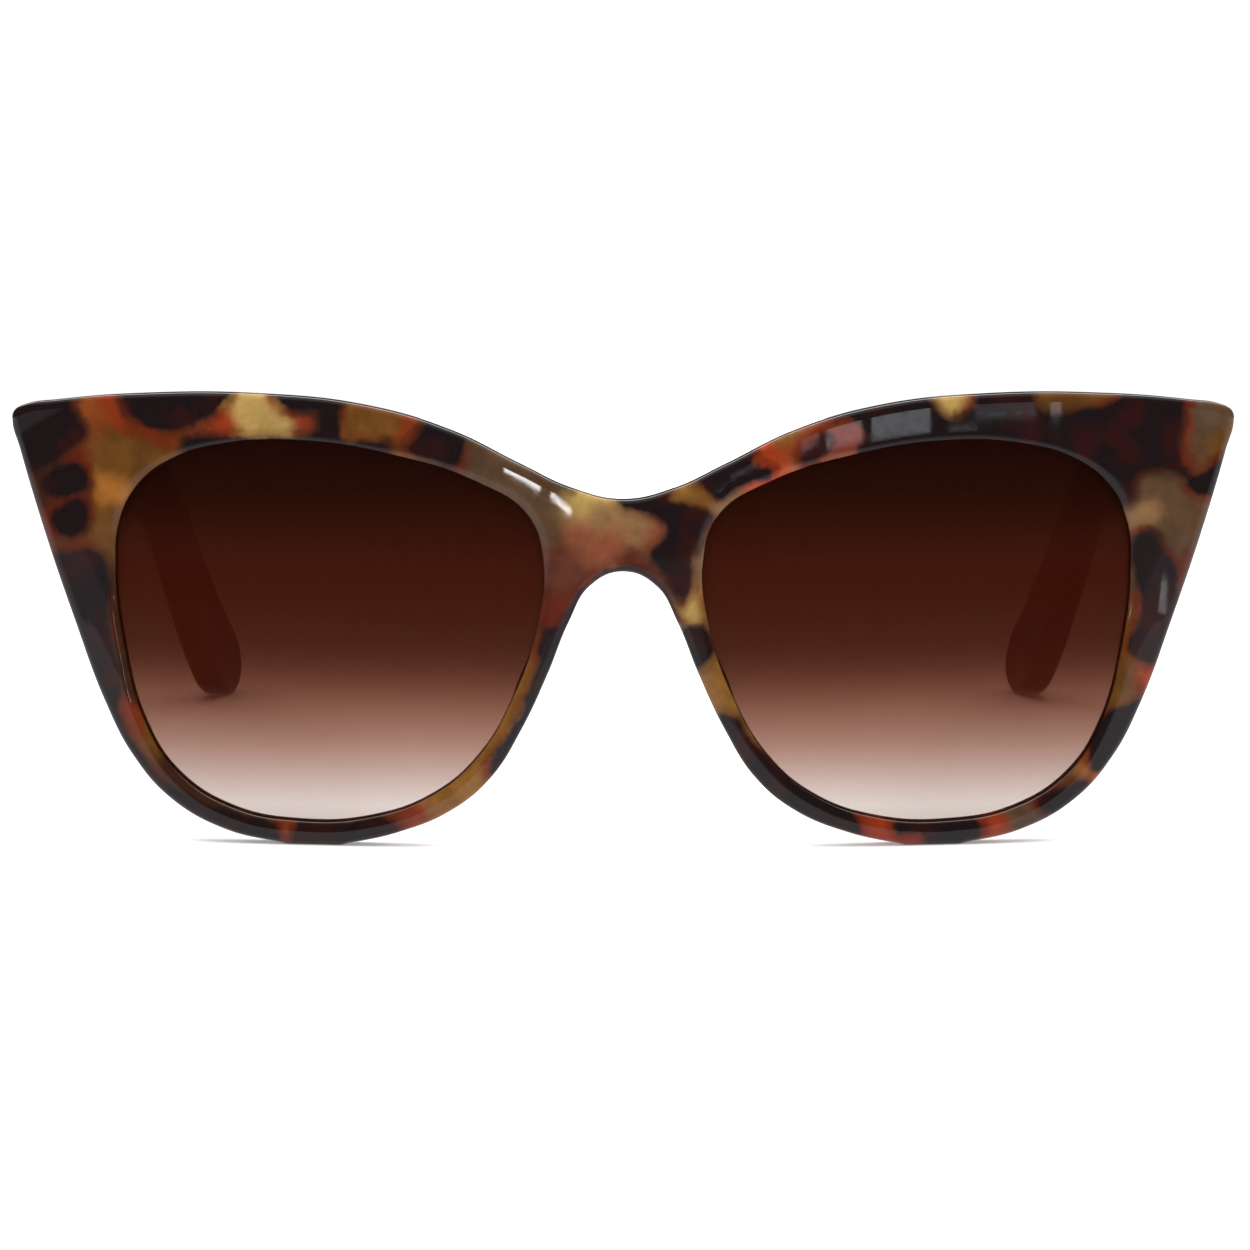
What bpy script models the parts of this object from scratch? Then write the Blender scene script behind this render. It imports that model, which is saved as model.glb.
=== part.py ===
"""Cat eye sunglasses: acetate front, two lenses and two folding temples.

Millimetres are turned into metres as each mesh is made. X runs across the front, Y runs from the
front to the temple tips and Z is up. Left is the wearer's left, which is +X.
"""
import math

import bmesh
import bpy
from mathutils import Matrix, Vector

OBJECT_NAME = "cat_eye_sunglasses"
MM = 0.001
FIT_GAP = 0.3
LEFT = 1
RIGHT = -1
SIDES = {"left": LEFT, "right": RIGHT}

# Front: half outline from the top centre round to the nose arch, as (x, z).
FRONT_OUTLINE = (
    (0.0, 41.2), (6.0, 42.5), (12.0, 45.3), (20.0, 49.2), (30.0, 52.1), (43.0, 53.4),
    (58.0, 53.2), (67.5, 52.3), (71.3, 51.7), (72.6, 51.0), (72.9, 49.8), (72.0, 46.4),
    (69.0, 36.5), (65.5, 26.3), (61.8, 16.4), (58.5, 10.1), (54.0, 5.1), (47.5, 1.6),
    (40.0, 0.0), (33.5, 0.0), (26.7, 1.6), (20.2, 4.4), (15.6, 8.3), (12.0, 14.0),
    (8.9, 20.6), (6.3, 27.0), (3.9, 31.1), (0.0, 32.8),
)
FRONT_FLATS = ((18, 19),)
LENS_OPENING = (
    (38.3, 48.1), (46.5, 47.7), (53.0, 45.9), (57.4, 42.7), (59.7, 38.5), (60.3, 32.7),
    (59.4, 23.5), (56.9, 14.1), (53.0, 8.1), (46.5, 4.1), (38.5, 2.7), (30.0, 3.3),
    (22.7, 6.0), (17.2, 10.7), (13.0, 17.8), (10.1, 26.3), (9.4, 34.2), (11.2, 39.5),
    (17.0, 43.3), (27.5, 46.6),
)
PLATE_HALF = 2.0
PLATE_EDGE = 0.7
PLAN_RADIUS = 250.0

# Width of the flat strips that stand in for a bend, and how far a cutter runs past what it cuts.
STRIP = 6.0
OVERSHOOT = 1.0

# Lenses and the grooves that hold them.
LENS_HALF = 0.8
LENS_EDGE = 0.5
LENS_SEAT = 0.6

# End blocks behind the front, which carry the hinges.
BLOCK_X = (60.7, 69.0)
BLOCK_Z = (36.7, 48.7)
BLOCK_FRONT_Y = 8.2
BLOCK_BACK_Y = 12.6
BLOCK_CORNER = 1.2
BLOCK_EDGE = 0.4

# Temples: closed side outline as (y, z), starting at the top of the hinge end.
TEMPLE_OUTLINE = (
    (12.9, 48.7), (30.0, 46.8), (60.0, 43.0), (84.0, 40.4), (97.0, 38.5), (107.0, 35.2),
    (117.0, 29.4), (128.0, 21.3), (139.0, 12.9), (146.0, 7.2), (147.3, 3.4), (145.4, 0.6),
    (142.0, 0.0), (138.0, 1.0), (131.0, 5.8), (120.0, 15.2), (110.0, 23.2), (101.0, 28.2),
    (90.0, 31.0), (60.0, 33.8), (30.0, 36.0), (12.9, 36.7),
)
TEMPLE_CORNERS = ((21, 0),)
TEMPLE_HALF = 2.0
TEMPLE_EDGE = 0.8
TEMPLE_INNER_X = 64.7
TEMPLE_TAPER = 0.0217
TEMPLE_LEAN_FROM_Y = 88.0
TEMPLE_LEAN = 0.0017

# Metal core wire and its bore, as (y, z) along the temple.
CORE_PATH = (
    (16.0, 42.6), (60.0, 38.5), (84.0, 35.9), (96.0, 34.0), (106.0, 30.6), (117.0, 23.9),
    (128.0, 15.2), (138.0, 7.0),
)
CORE_RADIUS = 0.6
CORE_INSET = 2.35
CORE_BORE_START = (11.5, 43.0)
CORE_BORE_END = (139.2, 6.0)

# Hinges: five knuckles on an upright axis, three on the front leaf and two on the temple leaf.
HINGE_OFFSET = 2.2
HINGE_Z = 42.7
KNUCKLE_RADIUS = 1.5
KNUCKLE_BORE = 0.95
KNUCKLE_HEIGHT = 1.5
KNUCKLE_COUNT = 5
KNUCKLE_WEB = 1.0
KNUCKLE_FACETS = 14
BORE_FACETS = 12
LEAF_THICKNESS = 0.8
LEAF_SINK = 0.4
FRONT_LEAF_X = (61.4, 64.0)
TEMPLE_LEAF_Y = (13.6, 26.0)
SCREW_RADIUS = 0.65
SCREW_HEAD_RADIUS = 1.4
SCREW_HEAD_HEIGHT = 0.9
SCREW_HEAD_CHAMFER = 0.3
SCREW_SLOT_WIDTH = 0.45
SCREW_SLOT_DEPTH = 0.4
SCREW_FACETS = 16
SCREW_HEAD_FACETS = 24

# Nose pads.
PAD_CENTRE = (10.9, 19.5)
PAD_SEMI_AXES = (1.4, 4.2, 7.0)
PAD_SLOPE = math.radians(22.0)
PAD_SPLAY = 0.05

# Colours.
ACETATE = (0.28, 0.13, 0.05, 1.0)
LENS_TINT = (0.20, 0.09, 0.06, 0.45)
NICKEL = (0.72, 0.70, 0.66, 1.0)
STEEL = (0.60, 0.60, 0.62, 1.0)

AXIS_X = TEMPLE_INNER_X - HINGE_OFFSET
AXIS_Y = BLOCK_BACK_Y + HINGE_OFFSET
HINGE_HALF = (KNUCKLE_COUNT * KNUCKLE_HEIGHT + (KNUCKLE_COUNT - 1) * FIT_GAP) / 2
CENTRE_Y = (max(y for y, _ in TEMPLE_OUTLINE) - PLATE_HALF) / 2
ACROSS = Matrix.Rotation(math.radians(90.0), 4, "X")
ALONG = Matrix(((0, 0, 1, 0), (1, 0, 0, 0), (0, 1, 0, 0), (0, 0, 0, 1)))


def clear_scene():
    for item in list(bpy.data.objects):
        bpy.data.objects.remove(item)


def make_collection(name, hidden=False):
    collection = bpy.data.collections.new(name)
    bpy.context.scene.collection.children.link(collection)
    collection.hide_render = hidden
    return collection


def make_material(name, colour, roughness, metallic=0.0, transmission=0.0):
    material = bpy.data.materials.new(name)
    material.use_nodes = True
    material.diffuse_color = colour
    shader = material.node_tree.nodes["Principled BSDF"]
    shader.inputs["Base Color"].default_value = (*colour[:3], 1.0)
    shader.inputs["Roughness"].default_value = roughness
    shader.inputs["Metallic"].default_value = metallic
    shader.inputs["Transmission Weight"].default_value = transmission
    return material


def add_loop(curve, points, corners):
    """Add a closed smooth loop; each pair in corners is a straight line between sharp points."""
    spline = curve.splines.new("BEZIER")
    spline.bezier_points.add(len(points) - 1)
    for knot, (u, v) in zip(spline.bezier_points, points):
        knot.co = (u * MM, v * MM, 0.0)
        knot.handle_left_type = "AUTO"
        knot.handle_right_type = "AUTO"
    for index in {index for pair in corners for index in pair}:
        spline.bezier_points[index].handle_left_type = "VECTOR"
        spline.bezier_points[index].handle_right_type = "VECTOR"
    spline.use_cyclic_u = True


def bake_curve(curve, weld=0.00001):
    """Turn a curve into a closed mesh with welded caps."""
    holder = bpy.data.objects.new(curve.name, curve)
    bpy.context.scene.collection.objects.link(holder)
    graph = bpy.context.evaluated_depsgraph_get()
    mesh = bpy.data.meshes.new_from_object(holder.evaluated_get(graph))
    bpy.data.objects.remove(holder)
    form = bmesh.new()
    form.from_mesh(mesh)
    bpy.data.meshes.remove(mesh)
    bmesh.ops.remove_doubles(form, verts=form.verts, dist=weld)
    bmesh.ops.recalc_face_normals(form, faces=form.faces)
    return form


def plate(name, loops, half, edge, grow=0.0, corners=(), steps=1, span=3):
    """Plate of the given half thickness between closed loops, with rounded rims."""
    curve = bpy.data.curves.new(name, "CURVE")
    curve.dimensions = "2D"
    curve.fill_mode = "BOTH"
    curve.resolution_u = span
    curve.extrude = (half - edge) * MM
    curve.bevel_depth = edge * MM
    curve.bevel_resolution = steps
    curve.offset = (grow - edge) * MM
    for points in loops:
        add_loop(curve, points, corners if points is loops[0] else ())
    form = bake_curve(curve)
    flat = [e for e in form.edges if len(e.link_faces) == 2 and e.calc_face_angle(1.0) < 0.001]
    bmesh.ops.dissolve_edges(form, edges=flat, use_verts=False)
    return form


def slice_strips(form, axis, start, stop):
    """Cut a mesh into strips across an axis, so that it can be bent."""
    normal = Vector((0.0, 0.0, 0.0))
    normal[axis] = 1.0
    for index in range(int((stop - start) / STRIP) + 1):
        bmesh.ops.bisect_plane(
            form,
            geom=form.verts[:] + form.edges[:] + form.faces[:],
            dist=0.000001,
            plane_co=normal * (start + index * STRIP) * MM,
            plane_no=normal,
        )


def wrap_face(form):
    """Bend a flat mesh round the face: it falls back as the square of its distance from the centre."""
    for vert in form.verts:
        vert.co.y += vert.co.x ** 2 / (2 * PLAN_RADIUS * MM)


def lean_temple(form):
    """Set a flat side profile at the hinge and lean its ear end inwards."""
    for vert in form.verts:
        y = vert.co.y / MM
        taper = TEMPLE_TAPER * (y - BLOCK_BACK_Y)
        lean = TEMPLE_LEAN * max(0.0, y - TEMPLE_LEAN_FROM_Y) ** 2
        vert.co.x += (TEMPLE_INNER_X - taper - lean) * MM


def set_side(form, side):
    """Mirror a mesh made for the left side when the right side is wanted."""
    if side == RIGHT:
        bmesh.ops.scale(form, vec=(-1.0, 1.0, 1.0), verts=form.verts)
        bmesh.ops.reverse_faces(form, faces=form.faces)


def add_object(name, form, collection, material=None, origin=(0.0, 0.0, 0.0), parent=None):
    """Write a mesh to a new object whose origin is the given point."""
    mesh = bpy.data.meshes.new(name)
    bmesh.ops.translate(form, vec=-Vector(origin), verts=form.verts)
    form.to_mesh(mesh)
    form.free()
    item = bpy.data.objects.new(name, mesh)
    item.location = origin
    item.parent = parent
    collection.objects.link(item)
    if material:
        mesh.materials.append(material)
    return item


def add_cutter(name, form, stage):
    cutter = add_object(name, form, stage["cutters"], parent=stage["root"])
    cutter.display_type = "WIRE"
    cutter.hide_render = True
    return cutter


def combine(item, cutter, operation):
    boolean = item.modifiers.new(cutter.name, "BOOLEAN")
    boolean.object = cutter
    boolean.operation = operation
    boolean.solver = "EXACT"


def box(low, high):
    """Box between two corners given in millimetres."""
    form = bmesh.new()
    size = [(b - a) * MM for a, b in zip(low, high)]
    centre = Vector([(a + b) / 2 * MM for a, b in zip(low, high)])
    bmesh.ops.create_cube(form, size=1.0)
    bmesh.ops.scale(form, vec=size, verts=form.verts)
    bmesh.ops.translate(form, vec=centre, verts=form.verts)
    return form


def both_halves(points):
    """Close a half outline that starts and ends on the centre line."""
    return points + tuple((-x, z) for x, z in points[-2:0:-1])


def mirrored(points):
    """Loop on the other side, in the opposite order of its mirror image."""
    return tuple((-x, z) for x, z in points)


def lens_form(name, half, grow):
    form = plate(name, [LENS_OPENING], half, LENS_EDGE, grow=grow, steps=0)
    bmesh.ops.transform(form, matrix=ACROSS, verts=form.verts)
    slice_strips(form, 0, 2 * STRIP, 10 * STRIP)
    wrap_face(form)
    return form


def end_block_form():
    """Rounded block behind the front's outer corner."""
    low_x, high_x = BLOCK_X
    low_z, high_z = BLOCK_Z
    r = BLOCK_CORNER
    loop = (
        (low_x + r, low_z), (high_x - r, low_z), (high_x, low_z + r), (high_x, high_z - r),
        (high_x - r, high_z), (low_x + r, high_z), (low_x, high_z - r), (low_x, low_z + r),
    )
    straight = ((0, 1), (2, 3), (4, 5), (6, 7))
    half = (BLOCK_BACK_Y - BLOCK_FRONT_Y) / 2
    form = plate("end_block", [loop], half, BLOCK_EDGE, corners=straight, steps=0)
    bmesh.ops.transform(form, matrix=ACROSS, verts=form.verts)
    shift = Vector((0.0, (BLOCK_BACK_Y + BLOCK_FRONT_Y) / 2 * MM, 0.0))
    bmesh.ops.translate(form, vec=shift, verts=form.verts)
    return form


def front_recess_form():
    """Pocket in the end block for the front leaf."""
    z = HINGE_HALF + FIT_GAP
    depth = LEAF_THICKNESS + FIT_GAP
    return box(
        (FRONT_LEAF_X[0] - FIT_GAP, BLOCK_BACK_Y - depth, HINGE_Z - z),
        (FRONT_LEAF_X[1] + FIT_GAP, BLOCK_BACK_Y + OVERSHOOT, HINGE_Z + z),
    )


def build_front(stage):
    """Acetate front with lens openings, end blocks, grooves and hinge pockets."""
    outer = both_halves(FRONT_OUTLINE)
    count = len(outer)
    flats = FRONT_FLATS + tuple((count - b, count - a) for a, b in FRONT_FLATS)
    loops = [outer, LENS_OPENING[::-1], mirrored(LENS_OPENING)]
    form = plate("front", loops, PLATE_HALF, PLATE_EDGE, corners=flats)
    bmesh.ops.transform(form, matrix=ACROSS, verts=form.verts)
    slice_strips(form, 0, -12 * STRIP, 12 * STRIP)
    wrap_face(form)
    front = add_object("frame_front", form, stage["parts"], stage["acetate"], parent=stage["root"])
    for name, side in SIDES.items():
        steps = (
            ("end_block", end_block_form(), "UNION"),
            ("lens_groove", lens_form("groove", LENS_HALF + FIT_GAP, LENS_SEAT + FIT_GAP), "DIFFERENCE"),
            ("leaf_pocket", front_recess_form(), "DIFFERENCE"),
        )
        for title, tool, operation in steps:
            set_side(tool, side)
            combine(front, add_cutter(f"{title}_{name}", tool, stage), operation)


def build_lens(name, side, stage):
    form = lens_form("lens", LENS_HALF, LENS_SEAT)
    set_side(form, side)
    add_object(f"lens_{name}", form, stage["parts"], stage["tint"], parent=stage["root"])


def build_nose_pad(name, side, stage):
    """Pad glued behind the nose flank: half an ellipsoid, splayed outwards as it leaves the front."""
    form = bmesh.new()
    bmesh.ops.create_uvsphere(form, u_segments=16, v_segments=12, radius=MM)
    bmesh.ops.scale(form, vec=PAD_SEMI_AXES, verts=form.verts)
    bmesh.ops.bisect_plane(
        form,
        geom=form.verts[:] + form.edges[:] + form.faces[:],
        plane_co=(0.0, 0.0, 0.0),
        plane_no=(0.0, 1.0, 0.0),
        clear_inner=True,
    )
    rim = [edge for edge in form.edges if edge.is_boundary]
    bmesh.ops.contextual_create(form, geom=rim)
    bmesh.ops.rotate(form, cent=(0, 0, 0), matrix=Matrix.Rotation(-PAD_SLOPE, 3, "Y"), verts=form.verts)
    for vert in form.verts:
        vert.co.x += PAD_SPLAY * vert.co.y
    shift = (PAD_CENTRE[0] * MM, (PLATE_HALF + FIT_GAP) * MM, PAD_CENTRE[1] * MM)
    bmesh.ops.translate(form, vec=shift, verts=form.verts)
    bmesh.ops.recalc_face_normals(form, faces=form.faces)
    wrap_face(form)
    set_side(form, side)
    add_object(f"nose_pad_{name}", form, stage["parts"], stage["acetate"], parent=stage["root"])


def knuckle_loop(reach, heading):
    """Keyhole outline round the hinge axis, with a web reaching along a heading."""
    arc = math.asin(KNUCKLE_WEB / KNUCKLE_RADIUS)
    points = []
    for index in range(KNUCKLE_FACETS + 1):
        angle = heading + arc + (2 * math.pi - 2 * arc) * index / KNUCKLE_FACETS
        points.append((KNUCKLE_RADIUS * math.cos(angle), KNUCKLE_RADIUS * math.sin(angle)))
    along = Vector((math.cos(heading), math.sin(heading)))
    across = Vector((-along.y, along.x)) * KNUCKLE_WEB
    points.append(tuple(along * reach - across))
    points.append(tuple(along * reach + across))
    return points


def add_poly_loop(curve, points):
    spline = curve.splines.new("POLY")
    spline.points.add(len(points) - 1)
    for knot, (u, v) in zip(spline.points, points):
        knot.co = (u * MM, v * MM, 0.0, 1.0)
    spline.use_cyclic_u = True


def knuckles_form(indices, reach, heading):
    """The bored knuckles of one leaf, each at its place on the hinge axis."""
    curve = bpy.data.curves.new("knuckle", "CURVE")
    curve.dimensions = "2D"
    curve.fill_mode = "BOTH"
    curve.extrude = KNUCKLE_HEIGHT / 2 * MM
    add_poly_loop(curve, knuckle_loop(reach, heading))
    turns = [-2 * math.pi * index / BORE_FACETS for index in range(BORE_FACETS)]
    add_poly_loop(curve, [(KNUCKLE_BORE * math.cos(a), KNUCKLE_BORE * math.sin(a)) for a in turns])
    single = bake_curve(curve)
    whole = bmesh.new()
    pitch = KNUCKLE_HEIGHT + FIT_GAP
    for index in indices:
        mesh = bpy.data.meshes.new("knuckle")
        single.to_mesh(mesh)
        z = HINGE_Z - HINGE_HALF + KNUCKLE_HEIGHT / 2 + index * pitch
        mesh.transform(Matrix.Translation((AXIS_X * MM, AXIS_Y * MM, z * MM)))
        whole.from_mesh(mesh)
        bpy.data.meshes.remove(mesh)
    single.free()
    return whole


def build_front_leaf(name, side, stage):
    form = box(
        (FRONT_LEAF_X[0], BLOCK_BACK_Y - LEAF_THICKNESS, HINGE_Z - HINGE_HALF),
        (FRONT_LEAF_X[1], BLOCK_BACK_Y, HINGE_Z + HINGE_HALF),
    )
    set_side(form, side)
    leaf = add_object(f"hinge_front_leaf_{name}", form, stage["parts"], stage["nickel"], parent=stage["root"])
    knuckles = knuckles_form((0, 2, 4), HINGE_OFFSET + LEAF_SINK, math.radians(-90.0))
    set_side(knuckles, side)
    combine(leaf, add_cutter(f"front_knuckles_{name}", knuckles, stage), "UNION")


def turned(low, high, radius, top_radius, segments):
    """Round bar or taper standing on the hinge axis between two heights."""
    form = bmesh.new()
    bmesh.ops.create_cone(
        form,
        cap_ends=True,
        segments=segments,
        radius1=radius * MM,
        radius2=top_radius * MM,
        depth=(high - low) * MM,
        matrix=Matrix.Translation((AXIS_X * MM, AXIS_Y * MM, (low + high) / 2 * MM)),
    )
    return form


def build_screw(name, side, stage):
    """Slotted screw down the hinge axis, its head over the top knuckle."""
    seat = HINGE_Z + HINGE_HALF + FIT_GAP
    top = seat + SCREW_HEAD_HEIGHT
    shank_top = seat + SCREW_HEAD_HEIGHT / 2
    form = turned(HINGE_Z - HINGE_HALF, shank_top, SCREW_RADIUS, SCREW_RADIUS, SCREW_FACETS)
    set_side(form, side)
    screw = add_object(f"hinge_screw_{name}", form, stage["parts"], stage["steel"], parent=stage["root"])
    head_top = SCREW_HEAD_RADIUS - SCREW_HEAD_CHAMFER
    head = turned(seat, top, SCREW_HEAD_RADIUS, head_top, SCREW_HEAD_FACETS)
    reach = SCREW_HEAD_RADIUS + OVERSHOOT
    slot = box(
        (AXIS_X - reach, AXIS_Y - SCREW_SLOT_WIDTH / 2, top - SCREW_SLOT_DEPTH),
        (AXIS_X + reach, AXIS_Y + SCREW_SLOT_WIDTH / 2, top + OVERSHOOT),
    )
    for title, tool, operation in (("head", head, "UNION"), ("slot", slot, "DIFFERENCE")):
        set_side(tool, side)
        combine(screw, add_cutter(f"screw_{title}_{name}", tool, stage), operation)


def core_tube(path, radius):
    """Round bar along a path of (y, z) points inside the temple."""
    curve = bpy.data.curves.new("core", "CURVE")
    curve.dimensions = "3D"
    curve.bevel_depth = radius * MM
    curve.bevel_resolution = 1
    curve.resolution_u = 3
    curve.use_fill_caps = True
    spline = curve.splines.new("BEZIER")
    spline.bezier_points.add(len(path) - 1)
    for knot, (y, z) in zip(spline.bezier_points, path):
        knot.co = (CORE_INSET * MM, y * MM, z * MM)
        knot.handle_left_type = "AUTO"
        knot.handle_right_type = "AUTO"
    form = bake_curve(curve)
    lean_temple(form)
    return form


def temple_recess_form():
    """Pocket in the temple's inner face for the temple leaf, open at the hinge end."""
    z = HINGE_HALF + FIT_GAP
    depth = LEAF_THICKNESS + FIT_GAP
    return box(
        (TEMPLE_INNER_X - OVERSHOOT, TEMPLE_OUTLINE[0][0] - OVERSHOOT, HINGE_Z - z),
        (TEMPLE_INNER_X + depth, TEMPLE_LEAF_Y[1] + FIT_GAP, HINGE_Z + z),
    )


def build_temple(name, side, stage):
    """Acetate temple with its core bore and the pocket for its hinge leaf."""
    axis = (side * AXIS_X * MM, AXIS_Y * MM, HINGE_Z * MM)
    form = plate("temple", [TEMPLE_OUTLINE], TEMPLE_HALF, TEMPLE_EDGE, corners=TEMPLE_CORNERS)
    bmesh.ops.transform(form, matrix=ALONG, verts=form.verts)
    bmesh.ops.translate(form, vec=(TEMPLE_HALF * MM, 0.0, 0.0), verts=form.verts)
    slice_strips(form, 1, TEMPLE_LEAN_FROM_Y, CORE_BORE_END[0] + STRIP)
    lean_temple(form)
    set_side(form, side)
    temple = add_object(f"temple_{name}", form, stage["parts"], stage["acetate"], axis, stage["root"])
    bore_path = (CORE_BORE_START,) + CORE_PATH + (CORE_BORE_END,)
    cuts = (
        ("core_bore", core_tube(bore_path, CORE_RADIUS + FIT_GAP)),
        ("temple_pocket", temple_recess_form()),
    )
    for title, tool in cuts:
        set_side(tool, side)
        combine(temple, add_cutter(f"{title}_{name}", tool, stage), "DIFFERENCE")
    core = core_tube(CORE_PATH, CORE_RADIUS)
    set_side(core, side)
    add_object(f"temple_core_{name}", core, stage["parts"], stage["nickel"], axis, stage["root"])


def build_temple_leaf(name, side, stage):
    axis = (side * AXIS_X * MM, AXIS_Y * MM, HINGE_Z * MM)
    form = box(
        (TEMPLE_INNER_X, TEMPLE_LEAF_Y[0], HINGE_Z - HINGE_HALF),
        (TEMPLE_INNER_X + LEAF_THICKNESS, TEMPLE_LEAF_Y[1], HINGE_Z + HINGE_HALF),
    )
    set_side(form, side)
    leaf = add_object(
        f"hinge_temple_leaf_{name}", form, stage["parts"], stage["nickel"], axis, stage["root"]
    )
    knuckles = knuckles_form((1, 3), HINGE_OFFSET + LEAF_SINK, 0.0)
    set_side(knuckles, side)
    combine(leaf, add_cutter(f"temple_knuckles_{name}", knuckles, stage), "UNION")


def main():
    clear_scene()
    root = bpy.data.objects.new(OBJECT_NAME, None)
    root.location = (0.0, -CENTRE_Y * MM, 0.0)
    stage = {
        "parts": make_collection(OBJECT_NAME),
        "cutters": make_collection("cutters", hidden=True),
        "root": root,
        "acetate": make_material("tortoise_acetate", ACETATE, 0.2),
        "tint": make_material("brown_lens", LENS_TINT, 0.05, transmission=0.8),
        "nickel": make_material("nickel_silver", NICKEL, 0.3, metallic=1.0),
        "steel": make_material("screw_steel", STEEL, 0.25, metallic=1.0),
    }
    stage["parts"].objects.link(root)
    build_front(stage)
    for name, side in SIDES.items():
        build_lens(name, side, stage)
        build_nose_pad(name, side, stage)
        build_front_leaf(name, side, stage)
        build_screw(name, side, stage)
        build_temple(name, side, stage)
        build_temple_leaf(name, side, stage)


main()
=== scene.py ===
import math

import bmesh
import bpy
import numpy as np
from mathutils import Matrix, Vector
from mathutils.geometry import delaunay_2d_cdt
from mathutils.kdtree import KDTree


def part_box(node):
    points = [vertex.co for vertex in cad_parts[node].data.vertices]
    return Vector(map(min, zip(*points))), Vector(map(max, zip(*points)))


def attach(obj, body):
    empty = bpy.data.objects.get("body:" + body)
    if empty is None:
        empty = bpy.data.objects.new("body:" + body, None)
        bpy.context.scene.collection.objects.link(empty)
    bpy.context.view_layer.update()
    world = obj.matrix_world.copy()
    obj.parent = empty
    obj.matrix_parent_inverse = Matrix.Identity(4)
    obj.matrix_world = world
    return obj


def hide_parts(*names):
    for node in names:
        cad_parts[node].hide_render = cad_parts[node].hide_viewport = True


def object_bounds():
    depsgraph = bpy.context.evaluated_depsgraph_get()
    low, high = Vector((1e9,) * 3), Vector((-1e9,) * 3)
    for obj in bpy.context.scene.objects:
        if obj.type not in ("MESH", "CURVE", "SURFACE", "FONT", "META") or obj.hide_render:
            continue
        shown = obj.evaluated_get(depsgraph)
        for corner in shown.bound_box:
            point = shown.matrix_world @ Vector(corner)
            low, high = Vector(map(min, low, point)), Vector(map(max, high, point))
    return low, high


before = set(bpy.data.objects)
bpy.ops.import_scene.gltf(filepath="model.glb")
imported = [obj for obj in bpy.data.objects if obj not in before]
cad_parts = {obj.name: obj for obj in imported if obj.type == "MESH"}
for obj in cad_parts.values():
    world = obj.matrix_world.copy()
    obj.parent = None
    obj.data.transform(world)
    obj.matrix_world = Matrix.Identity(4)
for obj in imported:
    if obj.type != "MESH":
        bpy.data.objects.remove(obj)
CAD_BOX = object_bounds()

MM = 0.001
SIDES = {"left": 1, "right": -1}

# The CAD's own numbers, in millimetres, with the front's mid-plane at y = 0.
FRONT_OUTLINE = (
    (0.0, 41.2), (6.0, 42.5), (12.0, 45.3), (20.0, 49.2), (30.0, 52.1), (43.0, 53.4),
    (58.0, 53.2), (67.5, 52.3), (71.3, 51.7), (72.6, 51.0), (72.9, 49.8), (72.0, 46.4),
    (69.0, 36.5), (65.5, 26.3), (61.8, 16.4), (58.5, 10.1), (54.0, 5.1), (47.5, 1.6),
    (40.0, 0.0), (33.5, 0.0), (26.7, 1.6), (20.2, 4.4), (15.6, 8.3), (12.0, 14.0),
    (8.9, 20.6), (6.3, 27.0), (3.9, 31.1), (0.0, 32.8),
)
FRONT_FLATS = ((18, 19),)
LENS_OPENING = (
    (38.3, 48.1), (46.5, 47.7), (53.0, 45.9), (57.4, 42.7), (59.7, 38.5), (60.3, 32.7),
    (59.4, 23.5), (56.9, 14.1), (53.0, 8.1), (46.5, 4.1), (38.5, 2.7), (30.0, 3.3),
    (22.7, 6.0), (17.2, 10.7), (13.0, 17.8), (10.1, 26.3), (9.4, 34.2), (11.2, 39.5),
    (17.0, 43.3), (27.5, 46.6),
)
PLATE_HALF = 2.0
PLAN_RADIUS = 250.0
LENS_HALF = 0.8
LENS_SEAT = 0.6
BLOCK_X = (60.7, 69.0)
BLOCK_Z = (36.7, 48.7)
BLOCK_BACK_Y = 12.6
TEMPLE_OUTLINE = (
    (12.9, 48.7), (30.0, 46.8), (60.0, 43.0), (84.0, 40.4), (97.0, 38.5), (107.0, 35.2),
    (117.0, 29.4), (128.0, 21.3), (139.0, 12.9), (146.0, 7.2), (147.3, 3.4), (145.4, 0.6),
    (142.0, 0.0), (138.0, 1.0), (131.0, 5.8), (120.0, 15.2), (110.0, 23.2), (101.0, 28.2),
    (90.0, 31.0), (60.0, 33.8), (30.0, 36.0), (12.9, 36.7),
)
TEMPLE_CORNERS = ((21, 0),)
TEMPLE_THICKNESS = 4.0
TEMPLE_INNER_X = 64.7
TEMPLE_TAPER = 0.0217
TEMPLE_LEAN_FROM_Y = 88.0
TEMPLE_LEAN = 0.0017
HINGE_OFFSET = 2.2
HINGE_Z = 42.7
KNUCKLE_RADIUS = 1.5
KNUCKLE_BORE = 0.95
KNUCKLE_HEIGHT = 1.5
KNUCKLE_GAP = 0.3
KNUCKLE_WEB = 1.0
HINGE_HALF = 4.35
LEAF_THICKNESS = 0.8
LEAF_SINK = 0.4
FRONT_LEAF_X = (61.4, 64.0)
TEMPLE_LEAF_Y = (13.6, 26.0)
SCREW_RADIUS = 0.65
SCREW_HEAD_RADIUS = 1.4
SCREW_HEAD_HEIGHT = 0.9
PAD_CENTRE = (10.9, 19.5)
PAD_SEMI_AXES = (1.4, 4.2, 7.0)
PAD_SLOPE = math.radians(22.0)
PAD_SPLAY = 0.05

AXIS_X = TEMPLE_INNER_X - HINGE_OFFSET
AXIS_Y = BLOCK_BACK_Y + HINGE_OFFSET
SHIFT_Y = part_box("frame_front")[0].y / MM + PLATE_HALF

# Surface of the front: its roundings, the bevel and groove round each lens, and the wing's crease.
EDGE_ROUND = 0.95
BACK_ROUND = 0.6
BEVEL_WIDTH = 0.85
BEVEL_SLOPE = 0.5
BEVEL_SOFT = 0.1
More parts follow.
